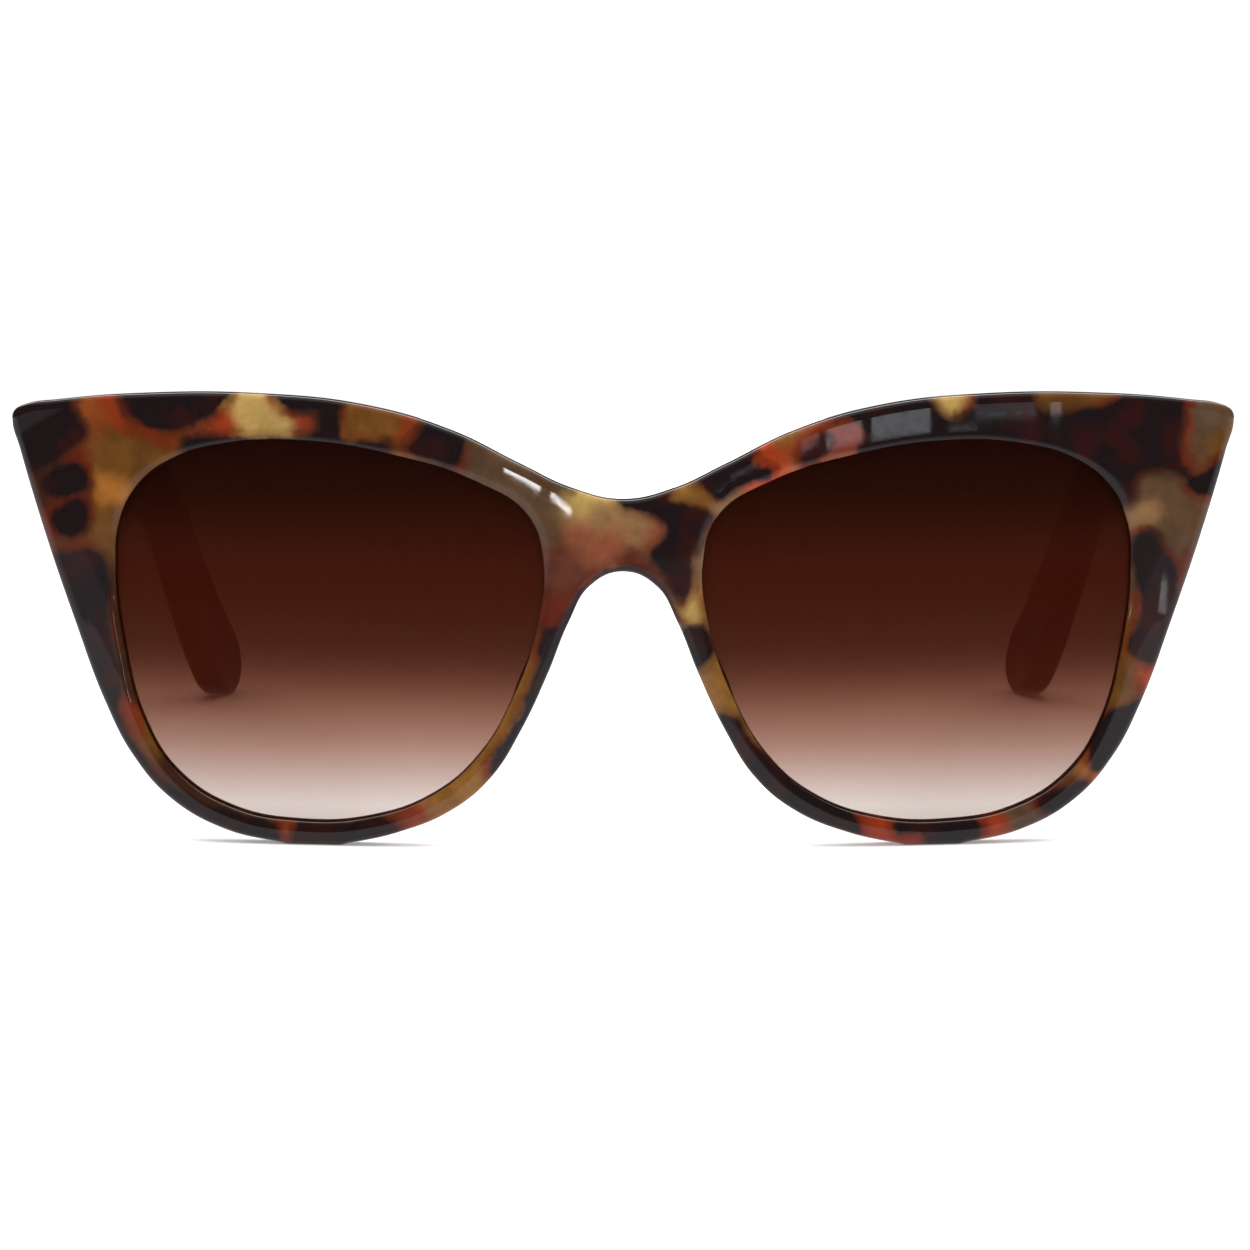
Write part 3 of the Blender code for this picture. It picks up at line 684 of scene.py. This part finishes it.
RED = (
    ((-67.5, 45.2), (-66.2, 46.2), (-64.2, 46.8), (-63.4, 45.4), (-64.6, 44.9), (-66.8, 44.2)),
    ((-67.2, 33.4), (-66.0, 35.6), (-64.0, 35.8), (-62.6, 34.6), (-65, 33.8)),
    ((-62.6, 54), (-61.6, 51.6), (-60.2, 49.4), (-57, 48.0), (-53, 46.8), (-50.6, 47.6), (-48, 49.0),
     (-50, 50), (-55, 49.6), (-58, 50.8), (-59.2, 54)),
    ((-50.8, 47.6), (-48.9, 50.0), (-46.6, 51.9), (-45.6, 50.0), (-44.4, 49.2), (-46, 48.4)),
    ((-41.6, 55), (-40.8, 52.5), (-38, 51.5), (-36.4, 51.2), (-36.2, 49.2), (-38.4, 48.9),
     (-38.4, 50.4), (-41, 51.4), (-42, 53)),
    ((-26.8, 47.6), (-26.2, 49.6), (-25.4, 51.6), (-22.6, 52), (-23.2, 49.6), (-24.8, 47.2)),
    ((-9.2, 26), (-8.8, 28.6), (-7.8, 30.2), (-6.6, 29.8), (-6.6, 27.6), (-7.6, 26.2)),
    ((-60.0, 16.8), (-58.4, 16.4), (-57.2, 13.6), (-57.8, 12), (-59.4, 13.4)),
    ((-41.0, 3), (-38.6, 3), (-38.8, -1), (-41.0, -1)),
    ((-27.6, 3.6), (-23.6, 4.4), (-24.2, 2.0), (-27, 1.8)),
    ((-16.8, 8.6), (-15.8, 10.6), (-14.8, 9.8), (-15.4, 7.4)),
    ((15.6, 45.2), (18.0, 45.0), (20.8, 46.6), (22.6, 47.9), (23.4, 49.3), (26.6, 50.7), (26, 52),
     (22.6, 50.0), (20.0, 48.3), (17, 47.4), (15.2, 46.6)),
    ((24.4, 47.0), (27, 47.6), (27.8, 49.6), (24.8, 49.9)),
    ((40.0, 55), (40.0, 52.2), (39.2, 51.0), (41.0, 50.6), (41.8, 52), (41.9, 55)),
    ((50.6, 49.3), (52.6, 49.8), (53.9, 48.2), (53.0, 46.6), (51.2, 47.4)),
    ((65.9, 52.6), (67.2, 52.4), (67.6, 50), (67.4, 46), (68, 44.6), (66.6, 43.8), (65.6, 46),
     (65.8, 50)),
    ((60.7, 37.0), (62.2, 37.0), (61.6, 35.8), (60.6, 35.4)),
    ((60.9, 29.2), (62.0, 29.3), (61.9, 27.9), (60.9, 27.8)),
    ((61.6, 17.4), (61.8, 20.4), (63.8, 20.8), (63, 17)),
    ((42.4, 3.0), (45.2, 3.6), (45.0, 0.4), (42.2, 0.2)),
    ((27.2, 4.4), (31, 3.6), (32.6, 2.2), (35.8, 1.0), (36.4, -1), (28, -1)),
    ((9.6, 30.4), (10.2, 28), (10.2, 26.2), (9.4, 26.8)),
)
# Colours between the patches: where, how far it reaches, and the colour as linear light.
HONEY = (0.215, 0.094, 0.022)
OLIVE = (0.112, 0.045, 0.0095)
KHAKI = (0.400, 0.258, 0.079)
AMBER = (0.290, 0.108, 0.020)
TAN = (0.215, 0.112, 0.048)
TERRACOTTA = (0.205, 0.061, 0.030)
ROSE = (0.090, 0.024, 0.013)
GREY = (0.082, 0.044, 0.023)
DARK_BROWN = (0.040, 0.015, 0.008)
ORANGE = (0.460, 0.070, 0.020)
RUST = (0.195, 0.045, 0.011)
MOSS = (0.140, 0.054, 0.011)
TINTS = (
    ((-62, 51.5), 2.4, RUST), ((-59, 46.5), 3, OLIVE), ((-61, 42), 1.8, AMBER),
    ((-62, 37.5), 2.5, OLIVE), ((-69.5, 42.5), 1.6, DARK_BROWN), ((-68.6, 37.5), 1.4, ROSE),
    ((-66.4, 41.0), 2.2, DARK_BROWN), ((-67.4, 44.8), 1.6, DARK_BROWN), ((-60.6, 28), 3, DARK_BROWN),
    ((-60, 21), 2, DARK_BROWN), ((-43.6, 52), 2.5, KHAKI), ((-41.4, 50), 2, KHAKI),
    ((-47.2, 49.8), 1.2, ORANGE), ((-37.3, 50.4), 1.2, TERRACOTTA), ((-31, 51), 2.5, MOSS),
    ((-28, 49), 2.5, MOSS), ((-17, 47), 2, GREY), ((-13, 43.5), 2.5, GREY), ((-9, 41), 1.8, GREY),
    ((-8.4, 37.5), 1.4, GREY), ((-4.5, 41.4), 2.2, KHAKI), ((-3, 39.2), 1.6, TAN),
    ((-5.2, 37), 1.8, TERRACOTTA), ((-2, 35.4), 2, TERRACOTTA), ((-7.4, 34), 2, ROSE),
    ((1.6, 37.4), 1.3, TAN), ((3.5, 36.6), 1.2, TERRACOTTA), ((1, 34.4), 1.2, ROSE),
    ((-7, 31), 2, ROSE), ((-20, 6), 4, HONEY), ((-17.4, 8), 2, HONEY), ((-24, 3.5), 2, TERRACOTTA),
    ((-57, 11.5), 1.6, OLIVE), ((-54, 7.5), 2, DARK_BROWN), ((8.2, 41.8), 1.8, HONEY),
    ((11, 40.2), 1, TAN), ((16.4, 45.6), 1.2, ORANGE), ((19.4, 48.8), 1.2, HONEY),
    ((22, 48), 1.5, TERRACOTTA), ((26, 49), 2, TERRACOTTA), ((38, 52.4), 1.8, KHAKI),
    ((50.5, 52.6), 1.4, OLIVE), ((53.8, 52.6), 1.6, OLIVE), ((68.6, 49), 2.4, GREY),
    ((71, 47), 1.6, OLIVE), ((62.3, 42.3), 1.8, GREY), ((62.6, 39.5), 1.3, TAN),
    ((67, 39.4), 2.5, GREY), ((65, 36.6), 1.6, GREY), ((67.4, 33), 1.2, ROSE), ((60, 19), 1.6, OLIVE),
    ((62.6, 19), 1, ORANGE), ((56.4, 7.4), 1, AMBER), ((48, 3.6), 3, GREY), ((44, 2), 1.2, ORANGE),
    ((29, 2.4), 2, ORANGE), ((34, 0.6), 1.4, ORANGE), ((8.4, 28.6), 1.6, KHAKI), ((9, 32.4), 1.4, TAN),
    ((11.8, 18.8), 2.5, HONEY),
)


def spread_patches(points, patches, soft=0.25):
    """Signed distance in millimetres to the nearest patch, positive inside, with smooth joins."""
    far = 12.0
    total = np.full(len(points), -np.inf)
    for patch in patches:
        gap = signed_distance(points, smooth_loop(patch, step=0.6))
        total = np.logaddexp(total, np.clip(gap, -far, far) / soft)
    return total * soft


def spread_tints(points, tints):
    """Colour of each point, blended from the tints by how near and how far-reaching they are."""
    weight = np.full(len(points), 1e-9)
    colour = np.zeros((len(points), 3))
    for place, reach, tint in tints:
        gap = ((points - place) ** 2).sum(1)
        share = 1.0 / (1.0 + gap / reach ** 2) ** 3
        weight += share
        colour += share[:, None] * tint
    return colour / weight[:, None]


def write_pattern(piece, points, dark, red, tints):
    """Store the pattern's fields on a piece's vertices for its material to read."""
    mesh = piece.data
    fields = (("dark", spread_patches(points, dark)), ("red", spread_patches(points, red)))
    for name, values in fields:
        layer = mesh.attributes.new(name, "FLOAT", "POINT")
        layer.data.foreach_set("value", np.asarray(values, np.float32))
    tint = mesh.attributes.new("tint", "FLOAT_COLOR", "POINT")
    shades = np.column_stack([spread_tints(points, tints), np.ones(len(points))])
    tint.data.foreach_set("color", shades.astype(np.float32).ravel())


def vertex_points(piece, axes):
    """A piece's vertices in millimetres, on the two axes that its pattern is drawn on."""
    co = np.array([v.co[:] for v in piece.data.vertices]) / MM - (0.0, SHIFT_Y, 0.0)
    return co[:, axes]


def temple_middle(y):
    """Height of a temple's middle line, which falls gently and then steeply behind the ear bend."""
    return HINGE_Z - TEMPLE_FALL * (y - TEMPLE_OUTLINE[0][0]) - EAR_FALL * max(0.0, y - EAR_BEND_Y)


def temple_patches(seed):
    """Dark and red patches scattered along a temple, as (y, z) outlines, with tints between them."""
    draw = np.random.RandomState(seed)
    dark, red, tints = [], [], []
    y = 12.0
    while y < 150.0:
        centre = temple_middle(y)
        for _ in range(2):
            u = y + draw.uniform(-3.5, 3.5)
            v = centre + draw.uniform(-5.5, 5.5)
            width, height = draw.uniform(2.6, 8.0), draw.uniform(1.6, 3.8)
            lean = draw.uniform(-0.9, 0.9)
            cosine, sine = math.cos(lean), math.sin(lean)
            outline = []
            for k in range(PATCH_POINTS):
                angle = 2 * math.pi * k / PATCH_POINTS
                reach = draw.uniform(0.55, 1.35)
                a, b = width * reach * math.cos(angle), height * reach * math.sin(angle)
                outline.append((u + a * cosine - b * sine, v + a * sine + b * cosine))
            (dark if draw.uniform() < 0.78 else red).append(tuple(outline))
        shade = (HONEY, OLIVE, AMBER, KHAKI, TERRACOTTA, TAN)[draw.randint(6)]
        tints.append(((y + draw.uniform(-2, 2), centre + draw.uniform(-3, 3)), 4.0, shade))
        y += PATCH_STEP
    return tuple(dark), tuple(red), tuple(tints)


# ---- materials ----

class Nodes:
    """Short calls for building a material's nodes."""

    def __init__(self, name):
        self.material = bpy.data.materials.new(name)
        self.material.use_nodes = True
        self.tree = self.material.node_tree
        self.tree.nodes.clear()
        self.output = self.tree.nodes.new("ShaderNodeOutputMaterial")

    def add(self, kind, inputs=None, **settings):
        node = self.tree.nodes.new(kind)
        for key, value in settings.items():
            setattr(node, key, value)
        for key, value in (inputs or {}).items():
            if isinstance(value, bpy.types.NodeSocket):
                self.tree.links.new(value, node.inputs[key])
            else:
                node.inputs[key].default_value = value
        return node

    def math(self, operation, a, b=0.0, clamp=False):
        return self.add("ShaderNodeMath", {0: a, 1: b}, operation=operation, use_clamp=clamp).outputs[0]

    def millimetres(self):
        place = self.add("ShaderNodeTexCoord").outputs["Object"]
        return self.add("ShaderNodeVectorMath", {0: place, "Scale": 1000.0}, operation="SCALE").outputs[0]

    def noise(self, where, scale, detail=2.0, roughness=0.5):
        return self.add("ShaderNodeTexNoise", {
            "Vector": where, "Scale": scale, "Detail": detail, "Roughness": roughness,
        }).outputs[0]

    def between(self, value, low, high, to_low=0.0, to_high=1.0):
        """The value's place between low and high, eased and mapped to the second range."""
        return self.add("ShaderNodeMapRange", {
            "Value": value, "From Min": low, "From Max": high, "To Min": to_low, "To Max": to_high,
        }, interpolation_type="SMOOTHSTEP").outputs[0]

    def grey(self, value):
        return self.add("ShaderNodeCombineColor", {0: value, 1: value, 2: value}).outputs[0]

    def field(self, name, output="Fac"):
        return self.add("ShaderNodeAttribute", attribute_name=name).outputs[output]

    def mix(self, share, a, b, blend="MIX"):
        node = self.add("ShaderNodeMix", data_type="RGBA", blend_type=blend)
        for socket, value in ((node.inputs[0], share), (node.inputs[6], a), (node.inputs[7], b)):
            if isinstance(value, bpy.types.NodeSocket):
                self.tree.links.new(value, socket)
            elif isinstance(value, (int, float)):
                socket.default_value = value
            else:
                socket.default_value = (*value, 1.0)
        return node.outputs[2]

    def finish(self, shader):
        self.tree.links.new(shader, self.output.inputs["Surface"])
        return self.material


def tortoise_material():
    """Polished acetate: warm base colours, dark patches with red rims and a soft mottle."""
    n = Nodes("tortoise")
    where = n.millimetres()
    wander = n.math("SUBTRACT", n.noise(where, 0.42), 0.5)
    grain = n.math("SUBTRACT", n.noise(where, 1.3), 0.5)
    drift = n.noise(where, 0.16)
    stray = n.math("ADD", n.math("MULTIPLY", wander, 1.3), n.math("MULTIPLY", grain, 0.35))
    dark = n.math("ADD", n.field("dark"), stray)
    red = n.math("ADD", n.field("red"), stray)
    shade = n.between(n.noise(where, 0.3, 3.0, 0.6), 0.3, 0.7, 0.8, 1.18)
    base = n.mix(1.0, n.field("tint", "Color"), n.grey(shade), "MULTIPLY")
    ember = n.mix(n.between(drift, 0.38, 0.62), (0.110, 0.008, 0.0028), (0.22, 0.023, 0.006))
    base = n.mix(n.math("MULTIPLY", n.between(red, -0.9, 0.7), 0.7), base, ember)
    halo = n.math("MULTIPLY", n.between(dark, -1.4, -0.2), n.between(drift, 0.38, 0.62, 0.35, 0.95))
    ruddy = n.between(n.noise(where, 0.12, 1.0), 0.4, 0.58)
    base = n.mix(halo, base, n.mix(ruddy, (0.040, 0.013, 0.007), (0.105, 0.014, 0.005)))
    cloud = n.between(n.noise(where, 0.2), 0.45, 0.68)
    depth = n.mix(cloud, (0.0105, 0.0062, 0.0066), (0.0250, 0.0062, 0.0056))
    base = n.mix(n.between(dark, -0.45, 0.5), base, depth)
    rough = n.between(n.noise(where, 0.9, 3.0, 0.6), 0.3, 0.7, 0.02, 0.045)
    shader = n.add("ShaderNodeBsdfPrincipled", {"Base Color": base, "Roughness": rough, "IOR": 1.38})
    return n.finish(shader.outputs[0])


def height_ramp(n, share, stops):
    """Colour by height on the lens, from (height in millimetres, colour) stops."""
    ramp = n.add("ShaderNodeValToRGB", {"Fac": share})
    elements = ramp.color_ramp.elements
    while len(elements) < len(stops):
        elements.new(1.0)
    for element, (z, colour) in zip(elements, stops):
        element.position = z / RAMP_HEIGHT
        element.color = (*colour, 1.0)
    return ramp.outputs["Color"]


def lens_material():
    """Brown tint that fades towards the bottom, with a soft body colour and a faint warm gloss."""
    n = Nodes("lens_tint")
    where = n.millimetres()
    height = n.add("ShaderNodeSeparateXYZ", {0: where}).outputs["Z"]
    cloud = n.math("MULTIPLY", n.math("SUBTRACT", n.noise(where, 0.05), 0.5), 0.8)
    share = n.math("DIVIDE", n.math("ADD", height, cloud), RAMP_HEIGHT, clamp=True)
    see_through = height_ramp(n, share, [(z, (part, part, part)) for z, part in (
        (4.5, 0.653), (8.0, 0.557), (12.0, 0.447), (16.0, 0.344), (20.0, 0.220), (22.0, 0.163),
        (24.0, 0.127), (30.0, 0.085), (38.0, 0.058), (46.0, 0.042),
    )])
    tint = height_ramp(n, share, (
        (4.5, (1.0, 0.950, 0.917)), (8.0, (1.0, 0.880, 0.835)), (12.0, (1.0, 0.780, 0.690)),
        (16.0, (1.0, 0.700, 0.585)), (20.0, (1.0, 0.635, 0.495)), (24.0, (1.0, 0.610, 0.470)),
        (30.0, (1.0, 0.600, 0.430)), (46.0, (1.0, 0.520, 0.380)),
    ))
    body = height_ramp(n, share, (
        (4.5, (0.080, 0.030, 0.020)), (12.0, (0.044, 0.007, 0.0035)), (20.0, (0.034, 0.0042, 0.0020)),
        (31.0, (0.037, 0.0042, 0.0014)), (34.5, (0.0345, 0.0045, 0.0022)), (38.0, (0.0235, 0.0040, 0.0020)),
        (42.0, (0.0140, 0.0029, 0.0013)), (46.0, (0.0115, 0.0024, 0.0018)),
    ))
    clear = n.add("ShaderNodeBsdfTransparent", {"Color": tint})
    solid = n.add("ShaderNodeBsdfPrincipled", {
        "Base Color": body, "Roughness": 0.03, "IOR": 1.22, "Specular Tint": (1.0, 0.4, 0.25, 1.0),
    })
    shader = n.add("ShaderNodeMixShader", {0: see_through, 1: solid.outputs[0], 2: clear.outputs[0]})
    return n.finish(shader.outputs[0])


def metal_material(name, light, dark, stretch, rough):
    """Drawn or turned metal with fine lines."""
    n = Nodes(name)
    where = n.millimetres()
    drawn = n.add("ShaderNodeVectorMath", {0: where, 1: stretch}, operation="MULTIPLY").outputs[0]
    lines = n.noise(drawn, 1.0, 4.0, 0.65)
    streak = n.math("MULTIPLY", lines, 0.7)
    blot = n.math("MULTIPLY", n.noise(where, 0.6), 0.3)
    colour = n.mix(n.between(n.math("ADD", streak, blot), 0.3, 0.7), dark, light)
    bump = n.add("ShaderNodeBump", {"Strength": 0.25, "Distance": 0.00002, "Height": lines})
    shader = n.add("ShaderNodeBsdfPrincipled", {
        "Base Color": colour, "Metallic": 1.0,
        "Roughness": n.between(lines, 0.3, 0.7, rough, rough + 0.14), "Normal": bump.outputs[0],
    })
    return n.finish(shader.outputs[0])


def floor_material():
    """Matt white paper that glows faintly, so that it stays as pale as the photograph's ground."""
    n = Nodes("pale_floor")
    tone = n.between(n.noise(n.millimetres(), 0.01), 0.3, 0.7, 0.88, 0.9)
    paint = n.add("ShaderNodeBsdfPrincipled", {
        "Base Color": n.grey(tone), "Roughness": 0.9, "Specular IOR Level": 0.0,
        "Emission Color": (1.0, 1.0, 1.0, 1.0), "Emission Strength": 0.28,
    })
    return n.finish(paint.outputs[0])


# ---- stage ----

def build_floor():
    """Floor under the object, hidden from reflections: the floor_sheen lamps stand in for it there."""
    near, low = CAD_BOX[0].y - FLOOR_AHEAD, CAD_BOX[0].z
    side, far = FLOOR_HALF_WIDTH, FLOOR_BACK_Y
    corners = [(-side, near, low), (side, near, low), (side, far, low), (-side, far, low)]
    mesh = bpy.data.meshes.new("floor")
    mesh.from_pydata(corners, [], [(0, 1, 2, 3)])
    mesh.materials.append(floor_material())
    floor = bpy.data.objects.new("floor", mesh)
    bpy.context.scene.collection.objects.link(floor)
    floor.visible_glossy = False


def build_world():
    """White paper for the camera, and a dim warm room for everything else."""
    world = bpy.data.worlds.new("studio")
    bpy.context.scene.world = world
    world.use_nodes = True
    tree = world.node_tree
    tree.nodes.clear()
    output = tree.nodes.new("ShaderNodeOutputWorld")
    path = tree.nodes.new("ShaderNodeLightPath")
    mix = tree.nodes.new("ShaderNodeMixShader")
    room, paper = ((1.0, 0.98, 0.96, 1.0), 0.05), ((1.0, 1.0, 1.0, 1.0), 1.05)
    for k, (colour, strength) in enumerate((room, paper), start=1):
        glow = tree.nodes.new("ShaderNodeBackground")
        glow.inputs["Color"].default_value = colour
        glow.inputs["Strength"].default_value = strength
        tree.links.new(glow.outputs[0], mix.inputs[k])
    tree.links.new(path.outputs["Is Camera Ray"], mix.inputs[0])
    tree.links.new(mix.outputs[0], output.inputs["Surface"])


def add_lamp(name, size, radiance, colour=(1, 1, 1), diffuse=True, glossy=True):
    """Rectangular lamp of even brightness that the camera doesn't see."""
    lamp = bpy.data.lights.new(name, "AREA")
    lamp.shape = "RECTANGLE"
    lamp.size, lamp.size_y = size
    lamp.energy = radiance * math.pi * size[0] * size[1]
    lamp.color = colour
    item = bpy.data.objects.new(name, lamp)
    bpy.context.scene.collection.objects.link(item)
    item.visible_camera = False
    item.visible_diffuse = diffuse
    item.visible_glossy = glossy
    return item


def add_softbox(name, place, target, size, radiance, **settings):
    """Lamp that faces a target."""
    item = add_lamp(name, size, radiance, **settings)
    item.location = place
    item.rotation_euler = (Vector(target) - Vector(place)).to_track_quat("-Z", "Y").to_euler()


def mirrored_place(x, z, tilt, reach):
    """Where the camera's line to the front at (x, z) ends up once the surface has turned it away."""
    surface = Vector((x, SHIFT_Y - PLATE_HALF + sag(x), z)) * MM
    normal = Vector((x / PLAN_RADIUS + tilt[0], -1.0, tilt[1])).normalized()
    inward = (surface - bpy.context.scene.camera.location).normalized()
    return surface + (inward - 2 * inward.dot(normal) * normal) * reach, surface


def add_pane(name, centre, half, turn, radiance, colour, tilt=(0.0, 0.0), reach=0.5):
    """Lamp that the front shows as a patch, and that lights only the front's gloss.

    centre and half are the patch's middle and half size on the front in millimetres, turn is in
    degrees, and tilt is any extra slope of the surface there.
    """
    angle = math.radians(turn)
    along = np.array((math.cos(angle), math.sin(angle)))
    across = np.array((-along[1], along[0]))
    centre = np.array(centre)
    middle, surface = mirrored_place(*centre, tilt, reach)
    wide = mirrored_place(*(centre + along * half[0]), tilt, reach)[0] - middle
    tall = mirrored_place(*(centre + across * half[1]), tilt, reach)[0] - middle
    back = (middle - surface).normalized()
    side = (wide - wide.dot(back) * back).normalized()
    rise = tall.dot(back.cross(side))
    item = add_lamp(name, (2 * wide.length, 2 * abs(rise)), radiance, colour, diffuse=False)
    turned = Matrix((side, back.cross(side), back)).transposed().to_4x4()
    item.matrix_world = Matrix.Translation(middle) @ turned
    item.light_linking.receiver_collection = bpy.data.collections[WINDOW_LIGHT]


def build_lights():
    """Soft studio lamps, the floor's reflection, and the window panes that the front reflects."""
    middle = (0.0, 0.0, 0.03)
    add_softbox("overhead", (0.0, 0.1, 1.2), middle, (2.2, 2.2), 3.0, glossy=False)
    add_softbox("overhead_sheen", (0.0, 0.25, 1.2), middle, (1.6, 1.2), 0.6, diffuse=False)
    add_softbox("front_fill", (-0.5, -1.5, 0.9), middle, (1.2, 0.9), 1.3, glossy=False)
    add_softbox("front_fill_right", (0.7, -1.4, 0.6), middle, (0.9, 0.9), 1.0, glossy=False)
    add_softbox("back_fill", (0.0, 1.6, 0.8), middle, (1.6, 0.8), 2.0)
    # Laid 0.1 mm apart, and each reaching further ahead, so the reflection weakens with distance.
    for k, (reach, radiance) in enumerate(((0.12, 0.5), (0.22, 0.2), (0.34, 0.22))):
        near, far = CAD_BOX[0].y - reach, 0.6
        place = Vector((0.0, (near + far) / 2, CAD_BOX[0].z + 0.0003 - 0.0001 * k))
        add_softbox(
            f"floor_sheen_{k}", place, place + Vector((0, 0, 1)), (1.8, far - near), radiance,
            colour=(0.93, 0.97, 1.0), diffuse=False,
        )
    bpy.data.collections.new(WINDOW_LIGHT)
    sky, dusk, pale, white = (0.88, 0.94, 1.0), (1.0, 0.72, 0.78), (0.9, 0.95, 1.0), (1.0, 1.0, 1.0)
    add_pane("pane_small", (21.9, 48.0), (1.2, 0.6), 30, 2.6, dusk)
    add_pane("pane_middle", (25.9, 49.0), (2.15, 1.3), 13, 4.6, dusk)
    add_pane("pane_large", (32.6, 50.2), (3.5, 1.65), 8, 3.6, sky)
    add_pane("pane_far", (44.9, 52.1), (3.6, 1.1), 2, 1.0, sky)
    add_pane("pane_far_low", (45.2, 51.0), (3.6, 0.22), 3, 1.6, sky)
    add_pane("pane_slit", (39.9, 49.5), (1.7, 0.42), 3, 1.5, sky)
    add_pane("pane_pale", (51.0, 52.0), (0.65, 1.0), 15, 4.0, pale)
    add_pane("blind_low", (12.3, 42.4), (2.2, 0.14), 33, 2.0, pale)
    add_pane("blind_high", (14.2, 44.6), (1.8, 0.22), 30, 2.0, pale)
    add_pane("glint_high", (-11.8, 44.0), (2.4, 0.5), -28, 32.0, white, reach=0.15)
    add_pane("glint_low", (-7.3, 40.9), (1.6, 0.32), -42, 32.0, white, reach=0.15)
    add_pane("blade_left", (63.8, 28.9), (0.9, 2.2), -28, 3.8, sky, tilt=(0.084, -0.0105))


def build_camera():
    """Camera at the photograph's angle: in front of the object and a little above it."""
    camera = bpy.data.objects.new("camera", bpy.data.cameras.new("camera"))
    bpy.context.scene.collection.objects.link(camera)
    camera.data.sensor_width = 36.0
    camera.data.lens = CAMERA_LENS_MM
    camera.data.clip_start = 0.01
    target = Vector((CAMERA_TARGET_X, CAD_BOX[0].y, CAMERA_TARGET_Z))
    rise = CAMERA_DISTANCE * math.tan(CAMERA_TILT)
    camera.location = target + Vector((0.0, -CAMERA_DISTANCE, rise))
    camera.rotation_euler = (math.pi / 2 - CAMERA_TILT, 0.0, 0.0)
    bpy.context.scene.camera = camera


# ---- assembly ----

def build_pieces():
    """Every piece of the visual model, and the metal on the two core wires kept from the CAD."""
    tortoise = tortoise_material()
    lens = lens_material()
    nickel = metal_material("nickel", (0.78, 0.76, 0.71), (0.60, 0.58, 0.54), (1.0, 1.0, 9.0), 0.24)
    steel = metal_material("steel", (0.70, 0.70, 0.72), (0.46, 0.46, 0.48), (5.0, 5.0, 12.0), 0.2)

    front = add_piece(
        "front_acetate", front_form(), tortoise, "front", "tortoise_acetate", "frame_front", sharp=30.0
    )
    write_pattern(front, vertex_points(front, (0, 2)), DARK, RED, TINTS)
    bpy.data.collections[WINDOW_LIGHT].objects.link(front)
    front_leaf = leaf_form(
        FRONT_LEAF_X, BLOCK_BACK_Y - LEAF_THICKNESS, corner=0.25, step=0.2, spacing=0.6,
        axes=(0, 2, 1), knuckles=(0, 2, 4), heading=-90.0,
    )
    temple_leaf = leaf_form(
        TEMPLE_LEAF_Y, TEMPLE_INNER_X, corner=0.5, step=0.3, spacing=0.8,
        axes=(2, 0, 1), knuckles=(1, 3), heading=0.0,
    )
    # What both sides have: piece, form, material, body, slot and the CAD node that it replaces.
    pairs = (
        ("lens_{}_tinted", lens_form(), lens, "front", "brown_lens", "lens_{}"),
        ("nose_pad_{}_acetate", pad_form(), tortoise, "front", "tortoise_acetate", "nose_pad_{}"),
        ("front_leaf_{}_metal", front_leaf, nickel, "front", "nickel_silver", "hinge_front_leaf_{}"),
        ("screw_{}_metal", screw_form(), steel, "front", "screw_steel", "hinge_screw_{}"),
        ("temple_leaf_{}_metal", temple_leaf, nickel, "{}_temple", "nickel_silver", "hinge_temple_leaf_{}"),
        ("temple_{}_acetate", temple_form(), tortoise, "{}_temple", "tortoise_acetate", "temple_{}"),
    )
    for name, side in SIDES.items():
        made = {}
        for title, form, material, body, slot, node in pairs:
            made[node] = add_piece(
                title.format(name), turn_side(form, side), material, body.format(name), slot,
                node.format(name),
            )
        pad, temple = made["nose_pad_{}"], made["temple_{}"]
        write_pattern(pad, vertex_points(pad, (0, 2)), DARK, RED, TINTS)
        write_pattern(temple, vertex_points(temple, (1, 2)), *temple_patches(PATCH_SEED + side))
        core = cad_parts[f"temple_core_{name}"]
        core.data.materials.clear()
        core.data.materials.append(nickel)


build_world()
build_floor()
build_camera()
build_lights()
build_pieces()
bpy.context.scene.view_settings.view_transform = "Standard"
